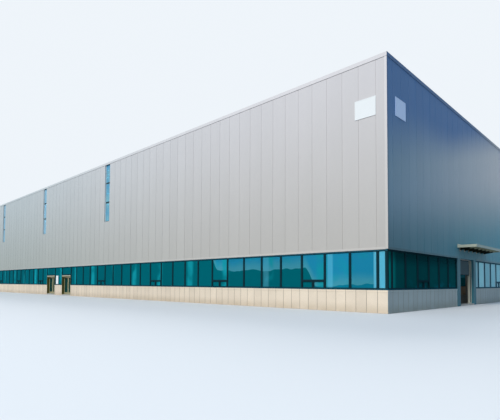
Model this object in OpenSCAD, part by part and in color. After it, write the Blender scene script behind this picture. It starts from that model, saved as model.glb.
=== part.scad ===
/* [Plan] */
// Distance between steel frames along every side
bay = 4000; // [3800:50:4200]
// Number of bays along the front and the back
front_bays = 9; // [8:1:9]
// Number of bays along the two ends
side_bays = 5; // [4:1:6]
// Distance from a corner of the cladding to the first frame line
edge = 300; // [280:5:340]

/* [Levels] */
// Top of the ground floor slab
floor_z = 50; // [40:1:60]
// Top of the stone plinth, which is the window sill
sill_z = 585; // [540:5:640]
// Underside of the cladding, which is the window head
head_z = 1625; // [1560:5:1700]
// Top of the wall cladding, under the coping
wall_top_z = 6575; // [6500:5:6700]
// Bottom of the tall slit windows
slit_z = 3725; // [3600:5:3800]
// Underside of the roof deck at the gutter
eave_z = 5900; // [5840:5:5950]

/* [Walls] */
// Thickness of the insulated wall panels
wall_t = 75; // [60:1:90]
// Width of one wall panel
panel_w = 500; // [450:10:550]
// Width of the joint between two wall panels
joint_w = 10; // [6:1:14]
// Depth of the joint between two wall panels
joint_d = 6; // [4:1:10]
// Distance that the plinth and the windows stand behind the cladding
setback = 25; // [20:1:40]
// Thickness of the plinth wall with its stone facing
plinth_t = 150; // [140:1:160]
// Stone slabs of the plinth in one bay
slabs_per_bay = 13; // [11:1:15]
// Width of a joint between stone slabs
slab_joint_w = 8; // [5:1:10]
// Depth of a joint between stone slabs
slab_joint_d = 5; // [3:1:8]
// Height of the capping course of the plinth
cap_h = 50; // [40:1:60]
// Height of the foot course of the plinth
foot_h = 35; // [25:1:45]
// Distance that the capping and foot courses stand out
course_out = 6; // [4:1:10]

/* [Windows] */
// Windows in one bay of the ribbon glazing
panes_per_bay = 5; // [4:1:5]
// Width of a mullion or a sash bar
mullion_w = 50; // [40:1:60]
// Height of the bottom and top rails
rail_h = 40; // [30:1:50]
// Depth of the window frames
frame_d = 60; // [50:1:70]
// Thickness of a sealed glass unit
glass_t = 14; // [10:1:18]
// Height of the small opening lights above the sill
vent_h = 260; // [220:5:320]
// Front windows with opening lights, counted from the right-hand corner
front_vents = [2, 7, 12, 18, 28, 33, 38, 43];
// End wall windows with opening lights, counted from the front corner
side_vents = [2, 12, 17, 22];

/* [Slit windows] */
// Number of slit windows on each long wall
slit_count = 3; // [1:1:3]
// Bays from the right-hand corner to the first slit
slit_first = 3.5; // [2.5:1:3.5]
// Bays from one slit to the next
slit_step = 2; // [1:1:2]
// Width of the slit frame's bars
slit_bar = 25; // [20:1:35]
// Depth of the slit frame
slit_d = 35; // [25:1:45]
// Number of panes one above the other in a slit
slit_panes = 3; // [2:1:4]

/* [Front doors] */
// Bays from the right-hand corner to the middle of the pair of doorways
door_bay = 5; // [4:1:6]
// Half the width of the wall between the two doorways
door_pier = 525; // [480:5:560]
// Width of a doorway over its lining
door_w = 1150; // [1050:10:1200]
// Top of a doorway's lining
door_top_z = 1140; // [1100:5:1200]
// Height of the doorway's metal head
door_head_h = 90; // [70:1:110]
// Thickness of the doorway's jamb lining
lining_t = 25; // [20:1:35]
// Distance that the lining stands out of the plinth
lining_out = 8; // [5:1:15]
// Height of the threshold plate
threshold_h = 8; // [6:1:12]
// Thickness of a door leaf
leaf_t = 25; // [20:1:30]
// Distance from a leaf's back to the back of its lining
leaf_back = 10; // [5:1:20]
// Width of a leaf's side and top rails
stile_w = 45; // [35:1:60]
// Height of a leaf's bottom rail
kick_h = 100; // [60:5:140]
// Gap between a leaf and its jamb
jamb_gap = 8; // [8:1:10]
// Gap above and below a leaf, and between two leaves
leaf_gap = 6; // [6:1:9]
// Distance from a leaf's edge to its pivot
pivot_in = 30; // [26:1:32]
// Radius of a pivot pin
pivot_r = 6; // [4:0.5:7]
// Clearance around a pivot pin
pivot_play = 0.5; // [0.3:0.1:0.8]
// Length of a pivot pin inside the leaf
pivot_len = 12; // [8:1:16]
// Length of a pull handle
handle_len = 360; // [250:10:450]
// Radius of a pull handle's bar
handle_r = 7; // [5:1:9]
// Distance from a leaf's face to the middle of its pull handle
handle_out = 28; // [22:1:34]

/* [End entrance] */
// Windows between the front corner and the entrance
entry_pane = 6; // [5:1:7]
// Width of the clad pier at each side of the entrance
pier_w = 260; // [200:5:300]
// Clear width between the two piers
entry_w = 1440; // [1300:10:1500]
// Distance of the entrance frame behind the cladding
entry_in = 80; // [70:1:90]
// Width of the painted jamb posts
entry_post_w = 60; // [50:1:75]
// Depth of the painted jamb posts
entry_post_d = 70; // [60:1:75]
// Width of the dark side lights
side_light_w = 140; // [100:5:170]
// Top of the doorway, under the grey panel
entry_top_z = 1060; // [1020:5:1100]
// Thickness of the grey panel
entry_panel_t = 20; // [15:1:30]
// Width of the posts between the side lights and the doorway
entry_bar_w = 20; // [15:1:30]

/* [Canopy] */
// Length of the canopy along the wall
canopy_len = 3200; // [2900:50:3400]
// Distance that the canopy stands out of the wall
canopy_out = 600; // [500:10:700]
// Underside of the canopy's fascia
canopy_z = 1975; // [1925:5:2050]
// Height of the canopy's fascia
canopy_h = 90; // [80:1:110]
// Thickness of the canopy's sheet and fascia
canopy_t = 12; // [8:1:16]
// Distance between the canopy's brackets
bracket_pitch = 450; // [400:10:500]
// Width of a bracket
bracket_w = 40; // [25:1:50]
// Distance from a bracket's tip up from the fascia's lower edge
bracket_tip = 10; // [5:1:20]
// Depth of a bracket at the wall
bracket_h = 150; // [120:5:180]

/* [Steelwork] */
// Width of the columns' and rafters' flanges
flange_w = 120; // [100:5:140]
// Depth of a column
column_d = 200; // [180:5:240]
// Thickness of a flange
flange_t = 16; // [12:1:20]
// Thickness of a web
web_t = 10; // [8:1:14]
// Depth of the beams and wall rails behind the cladding
rail_d = 150; // [140:1:155]
// Height of the beam over the windows
beam_h = 150; // [120:5:200]
// Height of a wall rail
girt_h = 100; // [80:5:120]
// Depth of a rafter
rafter_h = 250; // [200:5:300]
// Depth of the haunch under a rafter at its column
haunch_h = 220; // [160:5:260]
// Length of that haunch
haunch_len = 1200; // [900:50:1500]
// Height of a roof purlin
purlin_h = 100; // [80:5:120]
// Width of a roof purlin
purlin_w = 60; // [40:5:70]
// Distance between purlins
purlin_pitch = 1200; // [1000:50:1400]

/* [Roof and edges] */
// Rise of the roof for each unit of run
roof_rise = 0.045; // [0.03:0.005:0.05]
// Thickness of the roof deck
deck_t = 60; // [50:1:70]
// Width of the deck's edge over the gutter
deck_lap = 30; // [20:1:40]
// Distance from the gutter to the first purlin
purlin_gap = 20; // [10:1:40]
// Height of a standing seam
seam_h = 25; // [20:1:30]
// Width of a standing seam
seam_w = 12; // [8:1:16]
// Distance between standing seams
seam_pitch = 500; // [400:20:600]
// Half the width of the ridge cap
ridge_half = 200; // [150:10:300]
// Thickness of sheet metal flashings and gutters
sheet_t = 8; // [6:1:10]
// Width of a gutter
gutter_w = 310; // [280:5:340]
// Height of the coping
coping_h = 75; // [60:1:90]
// Distance that the coping stands out of the wall
coping_out = 15; // [10:1:25]
// Height of the coping's edges below the top of the wall
coping_skirt = 30; // [20:1:40]
// Fall of the coping's top towards the roof
coping_fall = 10; // [5:1:15]
// Depth of the parapet behind the cladding, with its lining
parapet_d = 115; // [100:1:130]
// Height of the drip flashing under the cladding
drip_h = 50; // [40:1:60]
// Width of each leg of a corner trim
corner_leg = 60; // [50:1:80]

/* [Signs] */
// Width of the square boards high on the walls
board_w = 600; // [500:10:700]
// Height of those boards
board_h = 500; // [400:10:600]
// Underside of those boards
board_z = 5100; // [5000:10:5300]
// Distance from the end frame line to the board on the end wall
board_in = 175; // [100:5:200]
// Height of that board above the one on the front
board_up = 35; // [0:5:60]
// Distance from a post of the door screen to the name board
name_gap = 120; // [80:5:200]
// Width of the name board between the doors
name_w = 300; // [250:5:350]
// Height of the name board
name_h = 485; // [400:5:500]
// Underside of the name board
name_z = 640; // [630:5:660]
// Thickness of the boards
board_t = 12; // [8:1:16]

/* [Hidden] */
$fn = 32;
fit = 2;
seat = 0.02;

L = front_bays * bay + 2 * edge;
W = side_bays * bay + 2 * edge;
pane = bay / panes_per_bay;
plinth_in = setback + plinth_t;
rail_in = wall_t + rail_d;
column_in = rail_in + column_d;
frame_in = setback + frame_d;
glass_y = setback + (frame_d - glass_t) / 2;

door_x = L - edge - door_bay * bay;
door_off = door_pier + door_w / 2;
screen_half = round(3 * pane);
leaf_y = plinth_in - leaf_t - leaf_back;
leaf_w = (door_w - 2 * lining_t - 2 * jamb_gap - leaf_gap) / 2;
leaf_z0 = floor_z + threshold_h + leaf_gap;
leaf_z1 = door_top_z - door_head_h - leaf_gap;
pivot_y = leaf_y + leaf_t / 2;

entry_x0 = edge + entry_pane * pane;
entry_x1 = entry_x0 + 2 * pier_w + entry_w;
side_glass_w = side_light_w - entry_bar_w;
parapet_in = wall_t + parapet_d;
gutter_in = parapet_in + gutter_w;
deck_d0 = gutter_in - deck_lap;
purlin_d0 = gutter_in + purlin_gap;
gutter_z = roof_z(gutter_in) - purlin_h;
lip_z = eave_z - sheet_t;
slit_h = wall_top_z - slit_z;
slit_pitch = round((slit_h + slit_bar) / slit_panes);
slit_y = wall_t - slit_d;

// Underside of the roof deck at a depth behind the front or back cladding
function roof_z(depth) = eave_z + (depth - deck_d0) * roof_rise;
// Edges of each regular mullion whose middle is between two places along a wall
function grid(length, from, to) =
    [for (i = [0 : ceil(length / pane)]) let (x = edge + i * pane)
        if (x > from && x < to) [x - mullion_w / 2, x + mullion_w / 2]];
// The same edges on a wall that runs the other way
function flipped(posts, length) = [for (p = posts) [length - p[1], length - p[0]]];
// True when the pane beside a post on the grid has opening lights
function opens(post, places) = len([for (p = places) if (abs(p - (post[0] + post[1]) / 2) < 1) p]) > 0;
// Grid places of the chosen panes, measured from the left end of a wall
function from_left(list) = [for (i = list) edge + i * pane];
// The same panes, counted from the right end of a wall
function from_right(list, length) = [for (i = list) length - edge - (i + 1) * pane];

// A wall is drawn with X to the right along it, Y into the building and Z up
module on_front() translate([-L / 2, -W / 2, 0]) children();
module on_right() translate([L / 2, -W / 2, 0]) rotate([0, 0, 90]) children();
module on_back() translate([L / 2, W / 2, 0]) rotate([0, 0, 180]) children();
module on_left() translate([-L / 2, W / 2, 0]) rotate([0, 0, 270]) children();

module box(x0, x1, y0, y1, z0, z1) translate([x0, y0, z0]) cube([x1 - x0, y1 - y0, z1 - z0]);

// A slab from x0 to x1 with upright grooves in its outer face
module grooved(x0, x1, y, t, z0, z1, first, pitch, w, d) {
    marks = [for (i = [0 : ceil((x1 - first) / pitch)]) let (x = first + i * pitch)
        if (x > x0 + 2 * w && x < x1 - 2 * w) x];
    outer = [for (m = marks) each [[m - w / 2, y], [m - w / 2, y + d], [m + w / 2, y + d], [m + w / 2, y]]];
    translate([0, 0, z0])
        linear_extrude(z1 - z0)
            polygon(concat([[x0, y]], outer, [[x1, y], [x1, y + t], [x0, y + t]]));
}

// Plinth
module floor_slab() color("gray") {
    union() {
        box(-L / 2 + plinth_in, L / 2 - plinth_in, -W / 2 + plinth_in, W / 2 - plinth_in, 0, floor_z);
        on_front()
            for (side = [-1, 1]) {
                x = door_x + side * door_off;
                box(x - door_w / 2, x + door_w / 2, setback, plinth_in + 1, 0, floor_z);
            }
        on_right() box(entry_x0 + pier_w, entry_x1 - pier_w, 0, plinth_in + 1, 0, floor_z);
    }
}

// A length of plinth whose courses run past it at a corner of the building
module plinth(x0, x1, left = 0, right = 0) {
    slab_w = bay / slabs_per_bay;
    grooved(x0, x1, setback, plinth_t, 0, sill_z - cap_h, edge, slab_w, slab_joint_w, slab_joint_d);
    for (z = [[sill_z - cap_h, sill_z], [0, foot_h]])
        box(x0 - left, x1 + right, setback - course_out, plinth_in, z[0], z[1]);
}

module front_plinth() color("antiquewhite")
    on_front() {
        plinth(setback, door_x - door_pier - door_w, left = course_out);
        plinth(door_x - door_pier, door_x + door_pier);
        plinth(door_x + door_pier + door_w, L - setback, right = course_out);
    }

module right_plinth() color("antiquewhite")
    on_right() {
        plinth(plinth_in, entry_x0);
        plinth(entry_x1, W - plinth_in);
    }

module back_plinth() color("antiquewhite")
    on_back() plinth(setback, L - setback, left = course_out, right = course_out);

module left_plinth() color("antiquewhite") on_left() plinth(plinth_in, W - plinth_in);

// Clad walls
module cladding(x0, x1)
    grooved(x0, x1, 0, wall_t, head_z, wall_top_z, edge, panel_w, joint_w, joint_d);

// Left edge of each slit, from the right-hand end of a long wall
function slit_places() =
    [for (k = [0 : slit_count - 1]) L - edge - (slit_first + slit_step * k) * bay - panel_w];

module long_wall()
    difference() {
        cladding(0, L);
        for (x = slit_places()) box(x, x + panel_w, -1, wall_t + 1, slit_z, wall_top_z + 1);
    }

module front_wall() color("silver") on_front() long_wall();
module back_wall() color("silver") on_back() long_wall();
module right_wall() color("lightslategray") on_right() cladding(wall_t, W - wall_t);
module left_wall() color("lightslategray") on_left() cladding(wall_t, W - wall_t);

// Steelwork
module window_beams() color("slategray") {
    for (turn = [0, 1]) rotate([0, 0, 180 * turn]) {
        on_front() box(wall_t, L - wall_t, wall_t, rail_in, head_z, head_z + beam_h);
        on_right() box(rail_in + fit, W - rail_in - fit, wall_t, rail_in, head_z, head_z + beam_h);
    }
}

// A channel-shaped rail, open towards the inside
module channel(x0, x1, y1, z, h)
    translate([x0, 0, z])
        rotate([90, 0, 90])
            linear_extrude(x1 - x0)
                polygon([
                    [wall_t, 0], [y1, 0], [y1, web_t], [wall_t + web_t, web_t],
                    [wall_t + web_t, h - web_t], [y1, h - web_t], [y1, h], [wall_t, h]
                ]);

module wall_rails() color("slategray")
    for (turn = [0, 1]) rotate([0, 0, 180 * turn]) {
        for (level = [-1 : slit_panes - 1]) {
            z = slit_z + level * slit_pitch - girt_h / 2;
            on_front() channel(wall_t, L - wall_t, rail_in, z, girt_h);
            on_right() channel(rail_in + fit, W - rail_in - fit, rail_in, z, girt_h);
        }
        z_top = wall_top_z - girt_h;
        on_front() channel(wall_t, L - wall_t, parapet_in - sheet_t, z_top, girt_h);
        on_right() channel(parapet_in + fit, W - parapet_in - fit, parapet_in - sheet_t, z_top, girt_h);
    }

// An upright I-section whose web runs into the building
module column(x, top)
    translate([x, rail_in, floor_z])
        linear_extrude(top - floor_z) {
            translate([-flange_w / 2, 0]) square([flange_w, flange_t]);
            translate([-flange_w / 2, column_d - flange_t]) square([flange_w, flange_t]);
            translate([-web_t / 2, 0]) square([web_t, column_d]);
        }

// An end wall post that stops under the sloping rafter
module end_post(x) {
    near = min(x, W - x) - flange_w / 2;
    under = roof_z(near) - purlin_h - rafter_h - seat;
    rise = flange_w * roof_rise * (x < W / 2 ? 1 : -1);
    z0 = rise > 0 ? under : under - rise;
    translate([0, column_in, 0])
        rotate([90, 0, 0])
            linear_extrude(column_d)
                polygon([
                    [x - flange_w / 2, floor_z], [x + flange_w / 2, floor_z],
                    [x + flange_w / 2, z0 + rise], [x - flange_w / 2, z0]
                ]);
}

module columns() color("gainsboro")
    for (turn = [0, 1]) rotate([0, 0, 180 * turn]) {
        on_front() for (i = [0 : front_bays]) column(edge + i * bay, gutter_z);
        on_right() for (i = [1 : side_bays - 1]) end_post(edge + i * bay);
    }

// A bar under the front slope, so far below the deck, from one depth to another
module slope_bar(d0, d1, below, thick, wide)
    rotate([90, 0, 90])
        linear_extrude(wide)
            polygon([
                [d0, roof_z(d0) - below - thick], [d1, roof_z(d1) - below - thick],
                [d1, roof_z(d1) - below], [d0, roof_z(d0) - below]
            ]);

module rafter(x) {
    foot = gutter_z - purlin_h - rafter_h - haunch_h;
    translate([x - flange_w / 2, 0, 0]) {
        slope_bar(column_in, W / 2, purlin_h + seat, flange_t, flange_w);
        slope_bar(column_in, W / 2, purlin_h + rafter_h - flange_t, flange_t, flange_w);
    }
    translate([x - web_t / 2, 0, 0]) {
        slope_bar(column_in, W / 2, purlin_h + seat, rafter_h - seat, web_t);
        rotate([90, 0, 90])
            linear_extrude(web_t)
                polygon([
                    [column_in, foot],
                    [column_in + haunch_len, roof_z(column_in + haunch_len) - purlin_h - rafter_h],
                    [column_in, roof_z(column_in) - purlin_h - rafter_h]
                ]);
    }
}

module front_rafters() color("gainsboro")
    on_front() for (i = [0 : front_bays]) rafter(edge + i * bay);

module back_rafters() color("gainsboro")
    on_back() for (i = [0 : front_bays]) rafter(edge + i * bay);

// A channel laid along the slope with its open side towards the ridge
module purlin(d) {
    top = roof_z(d) - seat;
    low = top - purlin_h + 2 * seat;
    rise = purlin_w * roof_rise;
    translate([parapet_in, 0, 0])
        rotate([90, 0, 90])
            linear_extrude(L - 2 * parapet_in)
                polygon([
                    [d, low], [d + purlin_w, low + rise], [d + purlin_w, low + rise + web_t],
                    [d + web_t, low + web_t], [d + web_t, top - web_t], [d + purlin_w, top + rise - web_t],
                    [d + purlin_w, top + rise], [d, top]
                ]);
}

module purlins() color("slategray")
    for (turn = [0, 1]) rotate([0, 0, 180 * turn])
        on_front()
            for (d = [purlin_d0 : purlin_pitch : W / 2 - purlin_w - fit]) purlin(d);

// Roof
module roof_slope() {
    translate([parapet_in, 0, 0]) slope_bar(deck_d0, W / 2, -deck_t, deck_t, L - 2 * parapet_in);
    for (x = [edge : seam_pitch : L - edge])
        translate([x - seam_w / 2, 0, 0])
            slope_bar(deck_d0, W / 2, -deck_t - seam_h, seam_h + 1, seam_w);
}

module front_roof() color("lightgray") on_front() roof_slope();
module back_roof() color("lightgray") on_back() roof_slope();

module ridge_cap() color("silver") {
    top = roof_z(W / 2) + deck_t + seam_h;
    low = top - ridge_half * roof_rise;
    translate([-L / 2 + parapet_in, 0, 0])
        rotate([90, 0, 90])
            linear_extrude(L - 2 * parapet_in)
                polygon([
                    [-ridge_half, low], [0, top], [ridge_half, low],
                    [ridge_half, low + sheet_t], [0, top + sheet_t], [-ridge_half, low + sheet_t]
                ]);
}

module gutters() color("silver")
    for (turn = [0, 1]) rotate([0, 0, 180 * turn])
        on_front()
            translate([parapet_in, 0, 0])
                rotate([90, 0, 90])
                    linear_extrude(L - 2 * parapet_in)
                        polygon([
                            [parapet_in, gutter_z], [gutter_in, gutter_z], [gutter_in, lip_z],
                            [gutter_in - sheet_t, lip_z], [gutter_in - sheet_t, gutter_z + sheet_t],
                            [parapet_in + sheet_t, gutter_z + sheet_t], [parapet_in + sheet_t, eave_z],
                            [parapet_in, eave_z]
                        ]);

module parapet_lining() color("silver")
    for (turn = [0, 1]) rotate([0, 0, 180 * turn]) {
        y0 = parapet_in - sheet_t;
        on_front() box(y0, L - y0, y0, parapet_in, gutter_z, wall_top_z);
        on_right() box(parapet_in + fit, W - parapet_in - fit, y0, parapet_in, gutter_z, wall_top_z);
    }

// A coping along a wall of that length, mitred at both ends, with a fall towards the roof
module coping_run(length) {
    out = -coping_out;
    inn = parapet_in + coping_out;
    top = wall_top_z + coping_h;
    skirt_z = wall_top_z - coping_skirt;
    intersection() {
        translate([out, 0, 0])
            rotate([90, 0, 90])
                linear_extrude(length + 2 * coping_out)
                    polygon([
                        [out, skirt_z], [0, skirt_z], [0, wall_top_z], [parapet_in, wall_top_z],
                        [parapet_in, skirt_z], [inn, skirt_z], [inn, top - coping_fall], [out, top]
                    ]);
        translate([0, 0, skirt_z - 1])
            linear_extrude(coping_skirt + coping_h + 2)
                polygon([
                    [out + fit, out], [length - out - fit, out],
                    [length - inn - fit, inn], [inn + fit, inn]
                ]);
    }
}

module coping() color("whitesmoke") {
    on_front() coping_run(L);
    on_right() coping_run(W);
    on_back() coping_run(L);
    on_left() coping_run(W);
}

// An angle of sheet metal over each corner of the cladding
module corner_trims() color("whitesmoke")
    for (side_x = [0, 1], side_y = [0, 1]) mirror([side_x, 0, 0]) mirror([0, side_y, 0])
        translate([L / 2, W / 2, head_z])
            linear_extrude(wall_top_z - coping_skirt - head_z)
                polygon([
                    [-corner_leg, 0], [0, 0], [0, -corner_leg], [sheet_t, -corner_leg],
                    [sheet_t, sheet_t], [-corner_leg, sheet_t]
                ]);

// A flashing over the lower edge of the cladding, with a lip over the windows
module drip_run(x0, x1)
    translate([x0, 0, 0])
        rotate([90, 0, 90])
            linear_extrude(x1 - x0)
                polygon([
                    [-sheet_t, head_z - sheet_t], [setback, head_z - sheet_t], [setback, head_z],
                    [0, head_z], [0, head_z + drip_h], [-sheet_t, head_z + drip_h]
                ]);

module drip_flashing() color("whitesmoke") {
    on_front() drip_run(corner_leg + fit, L - corner_leg - fit);
    on_back() drip_run(corner_leg + fit, L - corner_leg - fit);
    on_left() drip_run(corner_leg + fit, W - corner_leg - fit);
    on_right() {
        drip_run(corner_leg + fit, entry_x0 - fit);
        drip_run(entry_x1 + fit, W - corner_leg - fit);
    }
}

// Ribbon windows between posts, each post given by its two edges along the wall
module window_band(posts, vents) {
    x0 = posts[0][0];
    x1 = posts[len(posts) - 1][1];
    box(x0, x1, setback, frame_in, sill_z, sill_z + rail_h);
    box(x0, x1, setback, frame_in, head_z - rail_h, head_z);
    for (p = posts) if (p[1] > p[0]) box(p[0], p[1], setback, frame_in, sill_z, head_z);
    for (i = [0 : len(posts) - 2])
        if (opens(posts[i], vents)) {
            left = posts[i][1];
            right = posts[i + 1][0];
            mid = (left + right) / 2;
            vent_top = sill_z + vent_h;
            box(left - 1, right + 1, setback, frame_in, vent_top - rail_h, vent_top);
            box(mid - mullion_w / 2, mid + mullion_w / 2, setback, frame_in, sill_z, vent_top);
        }
}

module glass_pane(x0, x1, z0, z1) box(x0, x1, glass_y, glass_y + glass_t, z0, z1);

module glass_band(posts, vents)
    for (i = [0 : len(posts) - 2]) {
        x0 = posts[i][1];
        x1 = posts[i + 1][0];
        mid = (x0 + x1) / 2;
        low = opens(posts[i], vents) ? sill_z + vent_h : sill_z + rail_h;
        glass_pane(x0, x1, low, head_z - rail_h);
        if (opens(posts[i], vents)) {
            glass_pane(x0, mid - mullion_w / 2, sill_z + rail_h, low - rail_h);
            glass_pane(mid + mullion_w / 2, x1, sill_z + rail_h, low - rail_h);
        }
    }

screen_x0 = door_x - screen_half;
screen_x1 = door_x + screen_half;
// The front and back bands hold the square corner posts, and the side bands run up to them
near_corner = [[setback, frame_in]];
side_end = [[frame_in, frame_in]];
front_left_posts = concat(near_corner, grid(L, edge - pane / 2, screen_x0 + 1));
front_right_posts = concat(grid(L, screen_x1 - 1, L - edge + pane / 2), flipped(near_corner, L));
back_posts = concat(near_corner, grid(L, edge - pane / 2, L - edge + pane / 2), flipped(near_corner, L));
side_posts = concat(side_end, grid(W, edge - pane / 2, W - edge + pane / 2), flipped(side_end, W));
right_near_posts = concat(side_end, grid(W, edge - pane / 2, entry_x0 - 1),
    [[entry_x0 - mullion_w, entry_x0]]);
right_far_posts = concat([[entry_x1, entry_x1 + mullion_w]],
    grid(W, entry_x1 + pane / 4, W - edge + pane / 2), flipped(side_end, W));

module front_window_frames() color("dimgray")
    on_front() {
        window_band(front_left_posts, from_right(front_vents, L));
        window_band(front_right_posts, from_right(front_vents, L));
    }

module right_window_frames() color("dimgray")
    on_right() {
        window_band(right_near_posts, from_left(side_vents));
        window_band(right_far_posts, from_left(side_vents));
    }

module back_window_frames() color("dimgray") on_back() window_band(back_posts, from_left(front_vents));
module left_window_frames() color("dimgray") on_left() window_band(side_posts, from_left(side_vents));

// Posts of the screen around the two doorways
door_edges = [door_pier, door_pier + door_w];
screen_posts = [for (side = [-1, 1], e = door_edges)
    door_x + side * (e + (e == door_pier ? -1 : 1) * mullion_w / 2)];

module door_screen() color("dimgray")
    on_front() {
        x0 = screen_x0 + mullion_w / 2;
        x1 = screen_x1 - mullion_w / 2;
        box(x0, x1, setback, frame_in, head_z - rail_h, head_z);
        for (x = screen_posts)
            box(x - mullion_w / 2, x + mullion_w / 2, setback, frame_in, sill_z, head_z);
        for (side = [-1, 1]) {
            x = door_x + side * door_off;
            box(x - door_w / 2, x + door_w / 2, setback, frame_in, door_top_z, door_top_z + rail_h);
        }
        box(x0, door_x - door_pier - door_w, setback, frame_in, sill_z, sill_z + rail_h);
        box(door_x - door_pier, door_x + door_pier, setback, frame_in, sill_z, sill_z + rail_h);
        box(door_x + door_pier + door_w, x1, setback, frame_in, sill_z, sill_z + rail_h);
    }

module front_glass() color("teal", 0.6)
    on_front() {
        glass_band(front_left_posts, from_right(front_vents, L));
        glass_band(front_right_posts, from_right(front_vents, L));
        top = head_z - rail_h;
        bar = mullion_w;
        glass_pane(screen_x0 + bar / 2, door_x - door_pier - door_w - bar, sill_z + rail_h, top);
        glass_pane(door_x - door_pier + bar, door_x + door_pier - bar, sill_z + rail_h, top);
        glass_pane(door_x + door_pier + door_w + bar, screen_x1 - bar / 2, sill_z + rail_h, top);
        for (side = [-1, 1]) {
            x = door_x + side * door_off;
            glass_pane(x - door_w / 2, x + door_w / 2, door_top_z + rail_h, top);
        }
    }

module right_glass() color("teal", 0.6)
    on_right() {
        glass_band(right_near_posts, from_left(side_vents));
        glass_band(right_far_posts, from_left(side_vents));
        y = entry_in + entry_post_d / 2;
        for (x = [entry_x0 + pier_w + entry_post_w, entry_x1 - pier_w - entry_post_w - side_glass_w])
            box(x, x + side_glass_w, y, y + glass_t, floor_z + rail_h, head_z - rail_h);
    }

module back_glass() color("teal", 0.6) on_back() glass_band(back_posts, from_left(front_vents));
module left_glass() color("teal", 0.6) on_left() glass_band(side_posts, from_left(side_vents));

// Tall slit windows
module slit_frame(x) {
    box(x, x + slit_bar, slit_y, wall_t, slit_z, wall_top_z);
    box(x + panel_w - slit_bar, x + panel_w, slit_y, wall_t, slit_z, wall_top_z);
    box(x, x + panel_w, slit_y, wall_t, slit_z, slit_z + slit_bar);
    box(x, x + panel_w, slit_y, wall_t, wall_top_z - slit_bar, wall_top_z);
    for (k = [1 : slit_panes - 1]) {
        z = slit_z + k * slit_pitch;
        box(x, x + panel_w, slit_y, wall_t, z - slit_bar, z + slit_bar);
    }
}

module slit_frames() color("slategray") {
    on_front() for (x = slit_places()) slit_frame(x);
    on_back() for (x = slit_places()) slit_frame(x);
}

module slit_pane_column(x)
    for (k = [0 : slit_panes - 1]) {
        z0 = slit_z + k * slit_pitch + slit_bar;
        z1 = k == slit_panes - 1 ? wall_top_z - slit_bar : slit_z + (k + 1) * slit_pitch - slit_bar;
        box(x + slit_bar, x + panel_w - slit_bar, slit_y + slit_d / 3, slit_y + slit_d / 3 + glass_t, z0, z1);
    }

module slit_glass() color("lightskyblue", 0.7) {
    on_front() for (x = slit_places()) slit_pane_column(x);
    on_back() for (x = slit_places()) slit_pane_column(x);
}

// Front doorways
module door_lining(x) {
    x0 = x - door_w / 2;
    x1 = x + door_w / 2;
    y0 = setback - lining_out;
    top = door_top_z - door_head_h;
    box(x0, x0 + lining_t, y0, plinth_in, floor_z, door_top_z);
    box(x1 - lining_t, x1, y0, plinth_in, floor_z, door_top_z);
    box(x0, x1, y0, plinth_in, top, door_top_z);
    box(x0, x1, setback, plinth_in, floor_z, floor_z + threshold_h);
    for (px = [x0 + lining_t + jamb_gap + pivot_in, x1 - lining_t - jamb_gap - pivot_in])
        translate([px, pivot_y, 0]) {
            translate([0, 0, floor_z]) cylinder(r = pivot_r, h = threshold_h + leaf_gap + pivot_len);
            translate([0, 0, top - leaf_gap - pivot_len])
                cylinder(r = pivot_r, h = leaf_gap + pivot_len + 1);
        }
}

module door_linings() color("darkolivegreen")
    on_front() for (side = [-1, 1]) door_lining(door_x + side * door_off);

// A leaf drawn from its pivot towards +X, with its outer face at -Y
module leaf_frame() {
    bore_deep = pivot_len + 2;
    x0 = -pivot_in;
    x1 = leaf_w - pivot_in;
    y0 = -leaf_t / 2;
    difference() {
        box(x0, x1, y0, leaf_t / 2, leaf_z0, leaf_z1);
        box(x0 + stile_w, x1 - stile_w, y0 - 1, leaf_t / 2 + 1, leaf_z0 + kick_h, leaf_z1 - stile_w);
        for (z = [leaf_z0 - 1, leaf_z1 - bore_deep])
            translate([0, 0, z]) cylinder(r = pivot_r + pivot_play, h = bore_deep + 1);
    }
    mid_z = (leaf_z0 + leaf_z1) / 2;
    for (face = [-1, 1]) {
        reach = face * (leaf_t / 2 + handle_out);
        translate([x1 - stile_w / 2, reach, mid_z - handle_len / 2]) cylinder(r = handle_r, h = handle_len);
        for (z = [-1, 1])
            translate([x1 - stile_w / 2, 0, mid_z + z * handle_len / 3])
                rotate([-90 * face, 0, 0]) cylinder(r = handle_r - 1, h = leaf_t / 2 + handle_out);
    }
}

module leaf_pane()
    box(stile_w - pivot_in, leaf_w - pivot_in - stile_w, -glass_t / 2, glass_t / 2,
        leaf_z0 + kick_h, leaf_z1 - stile_w);

// Places a leaf in a doorway: side -1 is its left leaf and 1 its right leaf
module hang_leaf(door_side, leaf_side)
    on_front()
        translate([
            door_x + door_side * door_off
                + leaf_side * (door_w / 2 - lining_t - jamb_gap - pivot_in), pivot_y, 0])
            mirror([leaf_side > 0 ? 1 : 0, 0, 0]) children();

module near_door_right_leaf() color("tan") hang_leaf(1, 1) leaf_frame();
module near_door_left_leaf() color("tan") hang_leaf(1, -1) leaf_frame();
module far_door_right_leaf() color("tan") hang_leaf(-1, 1) leaf_frame();
module far_door_left_leaf() color("tan") hang_leaf(-1, -1) leaf_frame();
module near_door_right_glass() color("teal", 0.6) hang_leaf(1, 1) leaf_pane();
module near_door_left_glass() color("teal", 0.6) hang_leaf(1, -1) leaf_pane();
module far_door_right_glass() color("teal", 0.6) hang_leaf(-1, 1) leaf_pane();
module far_door_left_glass() color("teal", 0.6) hang_leaf(-1, -1) leaf_pane();

// End entrance
module entrance_piers() color("lightslategray")
    on_right()
        for (x = [entry_x0, entry_x1 - pier_w])
            box(x, x + pier_w, 0, plinth_in, 0, head_z);

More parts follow.
